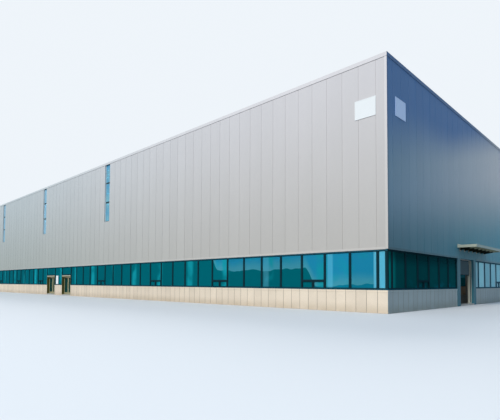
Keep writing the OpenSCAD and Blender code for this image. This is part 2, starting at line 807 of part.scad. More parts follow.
module entrance_frame() color("wheat")
    on_right() {
        x0 = entry_x0 + pier_w;
        x1 = entry_x1 - pier_w;
        y1 = entry_in + entry_post_d;
        inner = entry_post_w + side_light_w;
        box(x0, x0 + entry_post_w, entry_in, y1, floor_z, head_z);
        box(x1 - entry_post_w, x1, entry_in, y1, floor_z, head_z);
        box(x0, x1, entry_in, y1, head_z - rail_h, head_z);
        for (x = [x0 + inner - entry_bar_w, x1 - inner])
            box(x, x + entry_bar_w, entry_in, y1, floor_z, head_z);
        for (x = [x0, x1 - inner]) box(x, x + inner, entry_in, y1, floor_z, floor_z + rail_h);
    }

module entrance_panel() color("gray")
    on_right()
        box(entry_x0 + pier_w + entry_post_w + side_light_w, entry_x1 - pier_w - entry_post_w - side_light_w,
            entry_in + entry_panel_t, entry_in + 2 * entry_panel_t, entry_top_z, head_z - rail_h);

// Canopy over the end entrance
module canopy_deck() color("ivory")
    on_right() {
        x0 = entry_x0;
        x1 = entry_x0 + canopy_len;
        top = canopy_z + canopy_h;
        box(x0, x1, -canopy_out, 0, top - canopy_t, top);
        box(x0, x1, -canopy_out, canopy_t - canopy_out, canopy_z, top);
        box(x0, x0 + canopy_t, -canopy_out, 0, canopy_z, top);
        box(x1 - canopy_t, x1, -canopy_out, 0, canopy_z, top);
    }

module canopy_brackets() color("ivory")
    on_right() {
        top = canopy_z + canopy_h - canopy_t;
        tip = canopy_t - canopy_out;
        count = floor((canopy_len - 2 * bracket_w) / bracket_pitch);
        first = entry_x0 + (canopy_len - count * bracket_pitch) / 2;
        for (i = [0 : count])
            translate([first + i * bracket_pitch - bracket_w / 2, 0, 0])
                rotate([90, 0, 90])
                    linear_extrude(bracket_w)
                        polygon([[0, top], [0, top - bracket_h], [tip, canopy_z + bracket_tip], [tip, top]]);
    }

// Bare boards
module boards() color("white") {
    on_front() {
        box(L - edge - board_w, L - edge, -board_t, 0, board_z, board_z + board_h);
        x = door_x - door_pier + mullion_w + name_gap;
        box(x, x + name_w, glass_y - board_t, glass_y, name_z, name_z + name_h);
    }
    on_right() {
        z = board_z + board_up;
        box(edge + board_in, edge + board_in + board_w, -board_t, 0, z, z + board_h);
    }
}

floor_slab();
front_plinth();
right_plinth();
back_plinth();
left_plinth();
front_wall();
right_wall();
back_wall();
left_wall();
window_beams();
wall_rails();
columns();
front_rafters();
back_rafters();
purlins();
front_roof();
back_roof();
ridge_cap();
gutters();
parapet_lining();
coping();
corner_trims();
drip_flashing();
front_window_frames();
right_window_frames();
back_window_frames();
left_window_frames();
front_glass();
right_glass();
back_glass();
left_glass();
slit_frames();
slit_glass();
door_screen();
door_linings();
near_door_right_leaf();
near_door_left_leaf();
far_door_right_leaf();
far_door_left_leaf();
near_door_right_glass();
near_door_left_glass();
far_door_right_glass();
far_door_left_glass();
entrance_piers();
entrance_frame();
entrance_panel();
canopy_deck();
canopy_brackets();
boards();
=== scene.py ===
import math

import bmesh
import bpy
from mathutils import Matrix, Quaternion, Vector


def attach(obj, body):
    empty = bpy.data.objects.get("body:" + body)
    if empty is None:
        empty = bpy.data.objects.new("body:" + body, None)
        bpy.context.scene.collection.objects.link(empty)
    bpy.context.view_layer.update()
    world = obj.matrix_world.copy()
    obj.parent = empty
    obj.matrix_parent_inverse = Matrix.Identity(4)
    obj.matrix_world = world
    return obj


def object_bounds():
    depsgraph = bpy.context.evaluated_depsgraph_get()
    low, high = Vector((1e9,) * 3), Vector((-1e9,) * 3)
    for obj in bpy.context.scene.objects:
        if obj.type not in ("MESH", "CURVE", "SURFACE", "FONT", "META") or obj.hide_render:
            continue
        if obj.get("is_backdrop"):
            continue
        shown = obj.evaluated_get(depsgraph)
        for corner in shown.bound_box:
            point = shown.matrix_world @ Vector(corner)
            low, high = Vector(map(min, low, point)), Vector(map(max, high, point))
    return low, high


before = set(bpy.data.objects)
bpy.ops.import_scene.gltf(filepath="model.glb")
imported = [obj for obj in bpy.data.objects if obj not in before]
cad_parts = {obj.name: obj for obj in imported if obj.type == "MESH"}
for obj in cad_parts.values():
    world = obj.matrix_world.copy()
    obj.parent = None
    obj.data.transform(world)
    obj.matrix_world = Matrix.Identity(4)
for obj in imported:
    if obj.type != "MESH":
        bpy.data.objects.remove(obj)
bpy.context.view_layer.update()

# Floor slab
# A ground-bearing concrete slab, power-trowelled, that shows through the windows and doors.
# Saw cuts cross it on the lines of the steel frames, and its tone is uneven in broad patches.
bay = 4.0
slab_color = (0.42, 0.42, 0.4)
cut_color = (0.2, 0.2, 0.19)
cut_width = 0.012


def new_group(name, inputs, outputs):
    """An empty shader group with inputs given as (name, kind, value) and outputs as (name, kind)."""
    group = bpy.data.node_groups.new(name, "ShaderNodeTree")
    for socket_name, kind, value in inputs:
        socket = group.interface.new_socket(socket_name, in_out="INPUT", socket_type="NodeSocket" + kind)
        socket.default_value = value
    for socket_name, kind in outputs:
        group.interface.new_socket(socket_name, in_out="OUTPUT", socket_type="NodeSocket" + kind)
    return group, group.nodes.new("NodeGroupInput").outputs, group.nodes.new("NodeGroupOutput").inputs


def feed(tree, socket, value):
    """Sets a socket to a number or a colour, or links another socket to it."""
    if isinstance(value, bpy.types.NodeSocket):
        tree.links.new(value, socket)
    elif isinstance(value, tuple) and len(value) == 3 and socket.type == "RGBA":
        socket.default_value = (*value, 1)
    else:
        socket.default_value = value


def reckon(tree, operation, first, second=0.0, third=0.0, clamp=False):
    """One sum on numbers or sockets."""
    node = tree.nodes.new("ShaderNodeMath")
    node.operation = operation
    node.use_clamp = clamp
    for place, value in enumerate((first, second, third)):
        feed(tree, node.inputs[place], value)
    return node.outputs[0]


def multiply(tree, first, *others):
    """The product of two or more masks or numbers."""
    for other in others:
        first = reckon(tree, "MULTIPLY", first, other)
    return first


def scaled_color(tree, color, factor):
    """A colour made lighter or darker by a mask."""
    node = tree.nodes.new("ShaderNodeVectorMath")
    node.operation = "SCALE"
    tree.links.new(color, node.inputs[0])
    tree.links.new(factor, node.inputs["Scale"])
    return node.outputs[0]


def blend_colors(tree, mask, low, high, way="MIX"):
    """The low colour where the mask is 0 and the high colour, mixed in the given way, where it is 1."""
    node = tree.nodes.new("ShaderNodeMix")
    node.data_type = "RGBA"
    node.blend_type = way
    feed(tree, node.inputs[0], mask)
    feed(tree, node.inputs[6], low)
    feed(tree, node.inputs[7], high)
    return node.outputs[2]


def ramp(tree, value, start, end, low=0.0, high=1.0):
    """The low number before start and the high one after end, eased between them."""
    node = tree.nodes.new("ShaderNodeMapRange")
    node.interpolation_type = "SMOOTHSTEP"
    feed(tree, node.inputs["Value"], value)
    for name, number in (("From Min", start), ("From Max", end), ("To Min", low), ("To Max", high)):
        feed(tree, node.inputs[name], number)
    return node.outputs[0]


def noise(tree, place, scale, detail=3.0, stretch=(1, 1, 1)):
    """Soft noise from 0 to 1 at a number of waves to the metre, stretched by axis."""
    mapping = tree.nodes.new("ShaderNodeMapping")
    mapping.inputs["Scale"].default_value = stretch
    tree.links.new(place, mapping.inputs["Vector"])
    node = tree.nodes.new("ShaderNodeTexNoise")
    feed(tree, node.inputs["Scale"], scale)
    feed(tree, node.inputs["Detail"], detail)
    tree.links.new(mapping.outputs[0], node.inputs["Vector"])
    return node.outputs["Fac"]


def object_place(tree):
    """The place on the object, and its three parts."""
    place = tree.nodes.new("ShaderNodeTexCoord").outputs["Object"]
    split = tree.nodes.new("ShaderNodeSeparateXYZ")
    tree.links.new(place, split.inputs[0])
    return place, split.outputs["X"], split.outputs["Y"], split.outputs["Z"]


def make_mottle():
    """Uneven tone from broad patches and fine grain."""
    group, given, result = new_group(
        "mottle",
        [("Color", "Color", (0.5, 0.5, 0.5, 1)), ("Waves", "Float", 1.0), ("Patches", "Float", 0.1),
         ("Grain Waves", "Float", 60.0), ("Grain", "Float", 0.05)],
        [("Color", "Color"), ("Patch Mask", "Float"), ("Grain Mask", "Float")],
    )
    place, x, y, z = object_place(group)
    patches = noise(group, place, given["Waves"], 4)
    grain = noise(group, place, given["Grain Waves"], 2)
    broad = multiply(group, reckon(group, "SUBTRACT", patches, 0.5), given["Patches"])
    fine = multiply(group, reckon(group, "SUBTRACT", grain, 0.5), given["Grain"])
    factor = reckon(group, "ADD", reckon(group, "ADD", broad, fine), 1.0)
    group.links.new(scaled_color(group, given["Color"], factor), result["Color"])
    group.links.new(patches, result["Patch Mask"])
    group.links.new(grain, result["Grain Mask"])
    return group


def make_joint_lines():
    """Masks of the dark joint and the lit rolled edge beside it, repeated along a wall."""
    group, given, result = new_group(
        "joint_lines",
        [("Along", "Float", 0.0), ("Pitch", "Float", 0.5), ("Offset", "Float", 0.0),
         ("Width", "Float", 0.02), ("Edge", "Float", 0.0)],
        [("Joint", "Float"), ("Lit Edge", "Float"), ("Piece", "Float")],
    )
    from_first = reckon(group, "SUBTRACT", given["Along"], given["Offset"])
    steps = reckon(group, "DIVIDE", from_first, given["Pitch"])
    nearest = reckon(group, "ROUND", steps)
    away = multiply(group, reckon(group, "SUBTRACT", steps, nearest), given["Pitch"])
    half = multiply(group, given["Width"], 0.5)
    joint = reckon(group, "LESS_THAN", reckon(group, "ABSOLUTE", away), half)
    beyond = reckon(group, "GREATER_THAN", away, half)
    before = reckon(group, "LESS_THAN", away, reckon(group, "ADD", half, given["Edge"]))
    piece = group.nodes.new("ShaderNodeTexWhiteNoise")
    piece.noise_dimensions = "1D"
    group.links.new(reckon(group, "FLOOR", steps), piece.inputs["W"])
    group.links.new(joint, result["Joint"])
    group.links.new(multiply(group, beyond, before), result["Lit Edge"])
    group.links.new(piece.outputs["Value"], result["Piece"])
    return group


mottle = make_mottle()
joint_lines = make_joint_lines()


def use_group(tree, group, **values):
    """Places a node group and feeds its inputs, named with underlines for spaces."""
    node = tree.nodes.new("ShaderNodeGroup")
    node.node_tree = group
    for name, value in values.items():
        feed(tree, node.inputs[name.replace("_", " ")], value)
    return node.outputs


def paint(tree, shader, color):
    """Feeds the shader its colour."""
    feed(tree, shader.inputs["Base Color"], color)


def new_finish(name, color, roughness, metallic=0.0, gloss=0.5):
    """A material with one Principled shader. Returns the material, its tree and its shader."""
    material = bpy.data.materials.new(name)
    material.use_nodes = True
    material.diffuse_color = (*color, 1)
    tree = material.node_tree
    shader = tree.nodes["Principled BSDF"]
    paint(tree, shader, color)
    feed(tree, shader.inputs["Roughness"], roughness)
    feed(tree, shader.inputs["Metallic"], metallic)
    feed(tree, shader.inputs["Specular IOR Level"], gloss)
    return material, tree, shader


def mottle_color(tree, shader, color, **grain):
    """Feeds the shader an uneven colour, and returns the masks that it was made with."""
    tone = use_group(tree, mottle, Color=color, **grain)
    paint(tree, shader, tone["Color"])
    return tone


def vary_roughness(tree, shader, mask, least, added):
    """Makes the finish rougher by a mask, from the least roughness up."""
    feed(tree, shader.inputs["Roughness"], reckon(tree, "MULTIPLY_ADD", mask, added, least))


def add_relief(tree, shader, height, distance):
    """Bumps the surface by a height mask."""
    bump = tree.nodes.new("ShaderNodeBump")
    bump.inputs["Distance"].default_value = distance
    tree.links.new(height, bump.inputs["Height"])
    tree.links.new(bump.outputs[0], shader.inputs["Normal"])


def dress(material, *names):
    """Gives CAD nodes their finish."""
    for name in names:
        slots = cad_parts[name].data.materials
        slots.clear()
        slots.append(material)


concrete, tree, shader = new_finish("concrete", slab_color, 0.5)
place, x, y, z = object_place(tree)
cuts_across = use_group(tree, joint_lines, Along=x, Pitch=bay, Offset=bay / 2, Width=cut_width)
cuts_along = use_group(tree, joint_lines, Along=y, Pitch=bay, Offset=bay / 2, Width=cut_width)
cuts = reckon(tree, "MAXIMUM", cuts_across["Joint"], cuts_along["Joint"])
tone = use_group(tree, mottle, Color=slab_color, Waves=0.5, Patches=0.3, Grain_Waves=45.0, Grain=0.15)
paint(tree, shader, blend_colors(tree, cuts, tone["Color"], cut_color))
vary_roughness(tree, shader, tone["Patch Mask"], 0.35, 0.3)
add_relief(tree, shader, tone["Grain Mask"], 0.001)
dress(concrete, "floor_slab")

# Stone plinth
# Cream sandstone slabs on edge stand between a foot course and a capping course, thirteen to a
# bay, bedded in mortar. They are honed, each a little different, and darker near the ground.
# The stone of the end walls is painted a grey-blue shade, and the stone is made lighter towards the
# right-hand end as painted light.
stone_color = (0.83, 0.7, 0.55)
shaded_stone_color = (0.38, 0.45, 0.455)
mortar_color = (0.3, 0.27, 0.22)
mortar_share = 0.75
damp_color = (0.62, 0.58, 0.5)
damp_height = 0.3
hall_length = 36.6
hall_width = 20.6
edge = 0.3
slab_pitch = bay / 13
joint_width = 0.014


def end_wall_mask(tree, x, y):
    """1 on the two end walls and 0 on the long walls, parted at the mitre of each corner."""
    past_end = reckon(tree, "SUBTRACT", reckon(tree, "ABSOLUTE", x), hall_length / 2)
    past_side = reckon(tree, "SUBTRACT", reckon(tree, "ABSOLUTE", y), hall_width / 2)
    return reckon(tree, "GREATER_THAN", past_end, past_side)


def along_wall(tree, x, y, end_wall):
    """The place along whichever wall a point is on."""
    return reckon(tree, "ADD", multiply(tree, y, end_wall),
                  multiply(tree, x, reckon(tree, "SUBTRACT", 1.0, end_wall)))


stone, tree, shader = new_finish("stone", stone_color, 0.75)
place, x, y, z = object_place(tree)
end_wall = end_wall_mask(tree, x, y)
along = along_wall(tree, x, y, end_wall)
joints = use_group(tree, joint_lines, Along=along, Pitch=slab_pitch, Offset=slab_pitch / 2,
                   Width=joint_width)
# Painted shade: the stone of the end walls takes a grey-blue shaded colour.
base = blend_colors(tree, end_wall, stone_color, shaded_stone_color)
tone = use_group(tree, mottle, Color=base, Waves=2.5, Patches=0.18, Grain_Waves=120.0, Grain=0.3)
damp = multiply(tree, ramp(tree, z, 0.0, damp_height, 1.0, 0.0), tone["Patch Mask"])
color = blend_colors(tree, damp, tone["Color"], damp_color, "MULTIPLY")
color = blend_colors(tree, multiply(tree, joints["Joint"], mortar_share), color, mortar_color)
light = reckon(tree, "MULTIPLY_ADD", joints["Piece"], 0.1, 0.88)
# Painted light: the stone is made lighter towards the right-hand end of the hall.
light = reckon(tree, "ADD", light, ramp(tree, x, 6.0, 17.0, 0.0, 0.12))
paint(tree, shader, scaled_color(tree, color, light))
add_relief(tree, shader, tone["Grain Mask"], 0.002)
dress(stone, "front_plinth", "right_plinth", "back_plinth", "left_plinth")
wall_corners = (("front", -1, -1), ("right", 1, -1), ("back", 1, 1), ("left", -1, 1))
wall_frames = {}
for turn, (wall, x_side, y_side) in enumerate(wall_corners):
    corner = Matrix.Translation((x_side * hall_length / 2, y_side * hall_width / 2, 0))
    wall_frames[wall] = corner @ Matrix.Rotation(turn * math.pi / 2, 4, "Z")


def on_wall(wall, along, depth, level):
    """The place on a wall so far along it from its left end, so far behind its face, and so high."""
    return wall_frames[wall] @ Matrix.Translation((along, depth, level))


def wall_row(walls, first, pitch, count, depth, level):
    """Evenly spaced places along each of the walls, from the first place on."""
    return [on_wall(wall, first + step * pitch, depth, level) for wall in walls for step in range(count)]


def start_box(name, low, high):
    """Adds a box from corner to corner, with its place in its mesh, and opens it for editing."""
    low, high = Vector(low), Vector(high)
    bpy.ops.mesh.primitive_cube_add(size=1, location=(low + high) / 2, scale=high - low)
    bpy.ops.object.transform_apply(location=True, rotation=True, scale=True)
    piece = bpy.context.object
    piece.name = name
    bpy.ops.object.mode_set(mode="EDIT")
    return piece


def pick(piece, kind, test):
    """Selects the faces or edges whose middle and direction pass a test, and nothing else."""
    bpy.ops.mesh.select_mode(type="FACE" if kind == "faces" else "EDGE")
    bpy.ops.mesh.select_all(action="DESELECT")
    form = bmesh.from_edit_mesh(piece.data)
    for part in getattr(form, kind):
        corners = [corner.co for corner in part.verts]
        middle = sum(corners, Vector()) / len(corners)
        facing = part.normal if kind == "faces" else (corners[1] - corners[0]).normalized()
        if test(middle, facing):
            part.select_set(True)
    bmesh.update_edit_mesh(piece.data)


def ease(width, segments=1):
    """Bevels the edges of what is selected."""
    bpy.ops.mesh.bevel(offset=width, segments=segments, affect="EDGES")


def ease_front(piece, width, segments=2):
    """Rounds the edges of the outer face."""
    pick(piece, "faces", lambda middle, facing: facing.y < -0.9)
    ease(width, segments)


def ease_top(piece, width):
    """Chamfers the edges of the upper face."""
    pick(piece, "faces", lambda middle, facing: facing.z > 0.9)
    ease(width)


def ease_long_edges(piece, width, segments=1):
    """Bevels the edges that run into the building."""
    pick(piece, "edges", lambda middle, facing: abs(facing.y) > 0.9)
    ease(width, segments)


def fit(piece, places, material, body="building", sizes=()):
    """Fits copies of a piece to a body as one piece, each in its own width and height if given."""
    bpy.ops.object.mode_set(mode="OBJECT")
    bpy.ops.object.select_all(action="DESELECT")
    name = piece.name
    half_width = max(vert.co.x for vert in piece.data.vertices)
    half_height = max(vert.co.z for vert in piece.data.vertices)
    for number, place in enumerate(places):
        copy = piece.copy()
        copy.data = piece.data.copy()
        if sizes:
            for vert in copy.data.vertices:
                vert.co.x += math.copysign(1, vert.co.x) * (sizes[number][0] / 2 - half_width)
                vert.co.z += math.copysign(1, vert.co.z) * (sizes[number][1] / 2 - half_height)
        copy.data.transform(place)
        bpy.context.scene.collection.objects.link(copy)
        copy.select_set(True)
        bpy.context.view_layer.objects.active = copy
    bpy.data.objects.remove(piece)
    if len(places) > 1:
        bpy.ops.object.join()
    piece = bpy.context.view_layer.objects.active
    piece.name = name
    piece.data.materials.clear()
    piece.data.materials.append(material)
    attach(piece, body)


plinth_face = 0.025
stone_proud = 0.003
course_proud = 0.009
course_lap = 0.002
stone_bed = 0.005
stone_gap = 0.008
foot_top = 0.035
cap_bottom = 0.535
sill_level = 0.585
door_edges = (14.625, 15.775, 16.825, 17.975)
entry_edges = (5.1, 7.06)
plinth_runs = {
    "front": ((plinth_face, door_edges[0]), (door_edges[1], door_edges[2]),
              (door_edges[3], hall_length - plinth_face)),
    "right": ((plinth_face, entry_edges[0]), (entry_edges[1], hall_width - plinth_face)),
    "back": ((plinth_face, hall_length - plinth_face),),
    "left": ((plinth_face, hall_width - plinth_face),),
}


def spans(start, end, first, pitch, gap):
    """The pieces of one run between its ends and the joints of its grid, less the gaps."""
    marks = [first + count * pitch for count in range(math.ceil((end - first) / pitch) + 1)]
    marks = [start] + [mark for mark in marks if start + 2 * gap < mark < end - 2 * gap] + [end]
    return [(left + gap / 2, right - gap / 2) for left, right in zip(marks, marks[1:])]


def stone_course(name, low_level, high_level, proud, pitch):
    """A course of stones round the hall, modelled as one stone and fitted to each place."""
    half_depth = (proud + stone_bed) / 2
    block = start_box(name, (-0.1, -half_depth, -0.01), (0.1, half_depth, 0.01))
    ease_front(block, 0.003)
    depth = plinth_face - proud + half_depth
    level = (low_level + high_level) / 2
    places = []
    sizes = []
    for wall, runs in plinth_runs.items():
        for start, end in runs:
            for left, right in spans(start, end, edge, pitch, stone_gap):
                places.append(on_wall(wall, (left + right) / 2, depth, level))
                sizes.append((right - left, high_level - low_level))
    fit(block, places, stone, sizes=sizes)


stone_course("plinth_slabs", foot_top, cap_bottom, stone_proud, slab_pitch)
stone_course("capping_stones", cap_bottom - course_lap, sill_level, course_proud, 2 * slab_pitch)
stone_course("foot_stones", 0.0, foot_top + course_lap, course_proud, 2 * slab_pitch)

# Clad walls
# Insulated steel panels half a metre wide stand on end from the window head to the coping,
# tongued together. A satin silver coating covers them. On the end walls a blue-grey shade with the sky's
# reflection is painted on it: blue high up, pale in the middle and teal at the foot. The silver is
# darker and warmer towards the foot, partly from dust and partly as painted shade, and is painted darker
# and bluer towards the left-hand end as painted shade.
panel_width = 0.5
panel_joint = 0.022
lit_edge = 0.03
coat_colors = {
    "Silver Top": (0.715, 0.685, 0.695),
    "Silver Foot": (0.53, 0.5, 0.46),
    "Silver Far Shade": (0.72, 0.82, 0.83),
    "Shade Sheen High": (0.11, 0.226, 0.437),
    "Shade Sheen Pale Near": (0.222, 0.348, 0.447),
    "Shade Sheen Pale Far": (0.64, 0.66, 0.68),
    "Shade Sheen Foot Near": (0.093, 0.203, 0.253),
    "Shade Sheen Foot Far": (0.09, 0.31, 0.395),
}
silver_rise = (0.5, 8.0)
silver_far_shade = (-12.0, hall_length / 2)
sheen_level = 0.75
sheen_reach = 11.0
foot_fade = (0.07, 0.225)
high_fade_start = 0.25
high_fade_end_near = 0.42
high_fade_end_far = 0.33
unseen_depth = 0.25
plain_share = 0.7
wall_top = 6.575
coping_top = 6.65


def make_coating():
    """The coating of the cladding: silver, with a painted blue-grey shade and painted sky reflection on
    the end walls.
    """
    group, given, result = new_group(
        "coating",
        [(name, "Color", (*color, 1)) for name, color in coat_colors.items()],
        [("Color", "Color"), ("End Wall", "Float"), ("Along", "Float")],
    )
    place, x, y, z = object_place(group)
    end_wall = end_wall_mask(group, x, y)
    # Darker and warmer towards the foot, partly from dust and partly as painted shade.
    silver = blend_colors(group, ramp(group, z, *silver_rise), given["Silver Foot"], given["Silver Top"])
    # Painted shade: the silver is made darker and bluer towards the left-hand end.
    far = ramp(group, x, *silver_far_shade, 1.0, 0.0)
    silver = blend_colors(group, far, silver, given["Silver Far Shade"], "MULTIPLY")
    # Painted shade and sky reflection on the end walls: blue high up, pale in the middle and teal at the
    # foot, plainer on the left end.
    depth = reckon(group, "MULTIPLY_ADD", reckon(group, "ABSOLUTE", y), -2 / hall_width, 1.0, clamp=True)
    seen_end = reckon(group, "GREATER_THAN", x, 0.0)
    depth = reckon(group, "ADD", multiply(group, depth, seen_end),
                   reckon(group, "MULTIPLY_ADD", seen_end, -unseen_depth, unseen_depth))
    rise = reckon(group, "DIVIDE", reckon(group, "SUBTRACT", z, sheen_level),
                  reckon(group, "MULTIPLY_ADD", depth, hall_width / 2, sheen_reach))
    pale = blend_colors(group, depth, given["Shade Sheen Pale Near"], given["Shade Sheen Pale Far"])
    foot = blend_colors(group, depth, given["Shade Sheen Foot Near"], given["Shade Sheen Foot Far"])
    shade_sheen = blend_colors(group, ramp(group, rise, *foot_fade), foot, pale)
    high_fade_end = ramp(group, depth, 0.0, 0.5, high_fade_end_near, high_fade_end_far)
    high = ramp(group, rise, high_fade_start, high_fade_end)
    shade_sheen = blend_colors(group, high, shade_sheen, given["Shade Sheen High"])
    plain = reckon(group, "MULTIPLY_ADD", seen_end, -plain_share, plain_share)
    shade_sheen = blend_colors(group, plain, shade_sheen, given["Shade Sheen Pale Near"])
    sides = multiply(group, end_wall, reckon(group, "LESS_THAN", z, coping_top - 0.004))
    group.links.new(blend_colors(group, sides, silver, shade_sheen), result["Color"])
    group.links.new(end_wall, result["End Wall"])
    group.links.new(along_wall(group, x, y, end_wall), result["Along"])
    return group


coating = make_coating()


def coated_finish(name, roughness, lightness, joint_strength=0.0, end_joint_strength=0.0):
    """A coated steel finish in the wall's colours, with the painted shade and sky reflection of the end
    walls, and its panel joints with a painted highlight beside each.
    """
    material, tree, shader = new_finish(name, coat_colors["Silver Top"], roughness, 0.0, 0.05)
    place, x, y, z = object_place(tree)
    coat = use_group(tree, coating)
    joints = use_group(tree, joint_lines, Along=coat["Along"], Pitch=panel_width, Width=panel_joint,
                       Edge=lit_edge)
    streaks = noise(tree, place, 3.0, 3, (1, 1, 0.05))
    tone = use_group(tree, mottle, Color=coat["Color"], Waves=0.6, Patches=0.05, Grain_Waves=200.0,
                     Grain=0.03)
    shade = reckon(tree, "MULTIPLY_ADD", streaks, 0.05, lightness - 0.025)
    # Painted shade: on the end walls, finishes lighter than the wall are made darker.
    shade = reckon(tree, "MULTIPLY_ADD", coat["End Wall"], -3.0 * max(lightness - 1.0, 0.0), shade)
    shade = reckon(tree, "ADD", shade, reckon(tree, "MULTIPLY_ADD", joints["Piece"], 0.03, -0.015))
    # On the end walls the strength turns negative, so the grooves are painted lighter against their own
    # shade, as painted light.
    strength = reckon(tree, "MULTIPLY_ADD", coat["End Wall"], end_joint_strength - joint_strength,
                      joint_strength)
    shade = reckon(tree, "SUBTRACT", shade, multiply(tree, joints["Joint"], strength))
    # Painted highlight: a lit line beside each joint.
    shade = reckon(tree, "ADD", shade, multiply(tree, joints["Lit Edge"], strength, 0.35))
    paint(tree, shader, scaled_color(tree, tone["Color"], shade))
    vary_roughness(tree, shader, streaks, roughness - 0.1, 0.2)
    add_relief(tree, shader, tone["Grain Mask"], 0.0004)
    return material


wall_coating_and_painted_light = coated_finish("wall_coating_and_painted_light", 0.5, 1.0, 0.05, -0.225)
dress(wall_coating_and_painted_light, "front_wall", "back_wall", "right_wall", "left_wall")
# Painted shade: the piers take the wall's coating made darker.
shaded_pier_coating = coated_finish("shaded_pier_coating", 0.5, 0.75)
dress(shaded_pier_coating, "entrance_piers")

# Steel frame
# Welded portal frames every 4 m, with haunched rafters, purlins and channel wall rails, stand
# on bolted base plates and are painted pale grey.
steel_color = (0.68, 0.69, 0.68)
steel, tree, shader = new_finish("painted_steel", steel_color, 0.45)
tone = mottle_color(tree, shader, steel_color, Waves=1.2, Patches=0.12, Grain_Waves=80.0, Grain=0.06)
vary_roughness(tree, shader, tone["Patch Mask"], 0.35, 0.2)
add_relief(tree, shader, tone["Grain Mask"], 0.0008)
dress(steel, "columns", "front_rafters", "back_rafters", "purlins", "wall_rails", "window_beams")
long_walls = ("front", "back")
long_bays = 9
end_walls = ("right", "left")
end_bays = 5
floor_top = 0.05
column_middle = 0.325


def add_bolts(radius, height, axis, face, across=(0,), along=(0,)):
    """Adds a rounded hexagon head, its axis on Y or Z, at each crossing on the piece being edited."""
    for bolt_x in across:
        for other in along:
            upright = axis == "Z"
            place = (bolt_x, other, face) if upright else (bolt_x, face, other)
            bpy.ops.mesh.primitive_cylinder_add(vertices=6, radius=radius, depth=height, location=place,
                                                rotation=(0 if upright else math.pi / 2, 0, 0))
            ease(height * 0.2)


base_plate = start_box("column_bases", (-0.1, -0.14, 0.0), (0.1, 0.14, 0.02))
ease_top(base_plate, 0.003)
add_bolts(0.014, 0.016, "Z", 0.027, (-0.08, 0.08), (-0.12, 0.12))
base_places = wall_row(long_walls, edge, bay, long_bays + 1, column_middle, floor_top)
base_places += wall_row(end_walls, edge + bay, bay, end_bays - 1, column_middle, floor_top)
fit(base_plate, base_places, steel)

# Roof
# Standing-seam steel sheets run from the ridge to box gutters behind the parapet. Screws hold
# the ridge cap, straps tie the gutters, and rain has left dirt along the seams.
roof_color = (0.47, 0.48, 0.49)
dirt_color = (0.62, 0.6, 0.56)
roof, tree, shader = new_finish("roof_sheet", roof_color, 0.5)
place, x, y, z = object_place(tree)
seams = use_group(tree, joint_lines, Along=x, Pitch=panel_width, Width=0.05)
tone = use_group(tree, mottle, Color=roof_color, Waves=0.7, Patches=0.2, Grain_Waves=90.0, Grain=0.06)
washes = noise(tree, place, 5.0, 3, (1, 0.06, 1))
dirt = multiply(tree, seams["Joint"], washes)
paint(tree, shader, blend_colors(tree, dirt, tone["Color"], dirt_color, "MULTIPLY"))
vary_roughness(tree, shader, washes, 0.35, 0.3)
add_relief(tree, shader, tone["Grain Mask"], 0.0006)
dress(roof, "front_roof", "back_roof", "ridge_cap", "gutters", "parapet_lining")
roof_slope = 0.045
gutter_inside = 0.5
gutter_lip = 0.47
eave_level = 5.9
deck_depth = 0.06
seam_height = 0.025
seam_stop = 0.2
parapet_inside = 0.19
strap_drop = 0.006
screw_back = 0.16
cap_rise = 0.0086
roof_panels = round(long_bays * bay / panel_width)


def deck_level(depth):
    """The top of the roof sheet at a depth behind a long wall."""
    return eave_level + (depth - gutter_lip) * roof_slope + deck_depth


seam_end = hall_width / 2 - seam_stop
seam_middle = (gutter_lip + seam_end) / 2
seam_half = (seam_end - gutter_lip) / 2 * math.hypot(1, roof_slope)
seam_level = deck_level(seam_middle) + seam_height
tilt = Matrix.Rotation(math.atan(roof_slope), 4, "X")
fold = start_box("seam_folds", (-0.011, -seam_half, -0.006), (0.011, seam_half, 0.006))
ease_long_edges(fold, 0.005, 2)
seam_places = wall_row(long_walls, edge, panel_width, roof_panels + 1, seam_middle, seam_level)
fit(fold, [place @ tilt for place in seam_places], roof)

strap = start_box("gutter_straps", (-0.012, -0.155, -0.002), (0.012, 0.155, 0.002))
ease_long_edges(strap, 0.001)
add_bolts(0.006, 0.005, "Z", 0.004, along=(-0.14, 0.14))
strap_places = wall_row(long_walls, edge + panel_width, 2 * panel_width, roof_panels // 2,
                        (parapet_inside + gutter_inside) / 2, eave_level - strap_drop)
fit(strap, strap_places, roof)

ridge_screw = start_box("ridge_screws", (-0.011, -0.011, -0.001), (0.011, 0.011, 0.001))
ease(0.0008)
add_bolts(0.007, 0.005, "Z", 0.0034)
cap_level = deck_level(hall_width / 2) + seam_height - screw_back * roof_slope + cap_rise
ridge_places = wall_row(long_walls, edge + panel_width / 2, panel_width, roof_panels,
                        hall_width / 2 - screw_back, cap_level)
fit(ridge_screw, [place @ tilt for place in ridge_places], roof)

# Coping, corner trims and drip flashing
# Folded steel sheet in the coating of the wall below closes the top, the corners and the foot
# of the cladding. A screw at each panel holds the drip flashing.
edge_coating_and_painted_light = coated_finish("edge_coating_and_painted_light", 0.4, 1.12)
dress(edge_coating_and_painted_light, "coping", "corner_trims", "drip_flashing")
drip_face = -0.008
drip_screw_level = 1.655
drip_screw = start_box("drip_screws", (-0.008, -0.0015, -0.008), (0.008, 0.001, 0.008))
ease_front(drip_screw, 0.001, 1)
add_bolts(0.006, 0.003, "Y", -0.003)
screw_places = []
for wall in wall_frames:
    bays = long_bays if wall in long_walls else end_bays
    for step in range(round(bays * bay / panel_width)):
        along = edge + (step + 0.5) * panel_width
        if wall != "right" or not entry_edges[0] < along < entry_edges[1]:
            screw_places.append(on_wall(wall, along, drip_face, drip_screw_level))
fit(drip_screw, screw_places, edge_coating_and_painted_light)

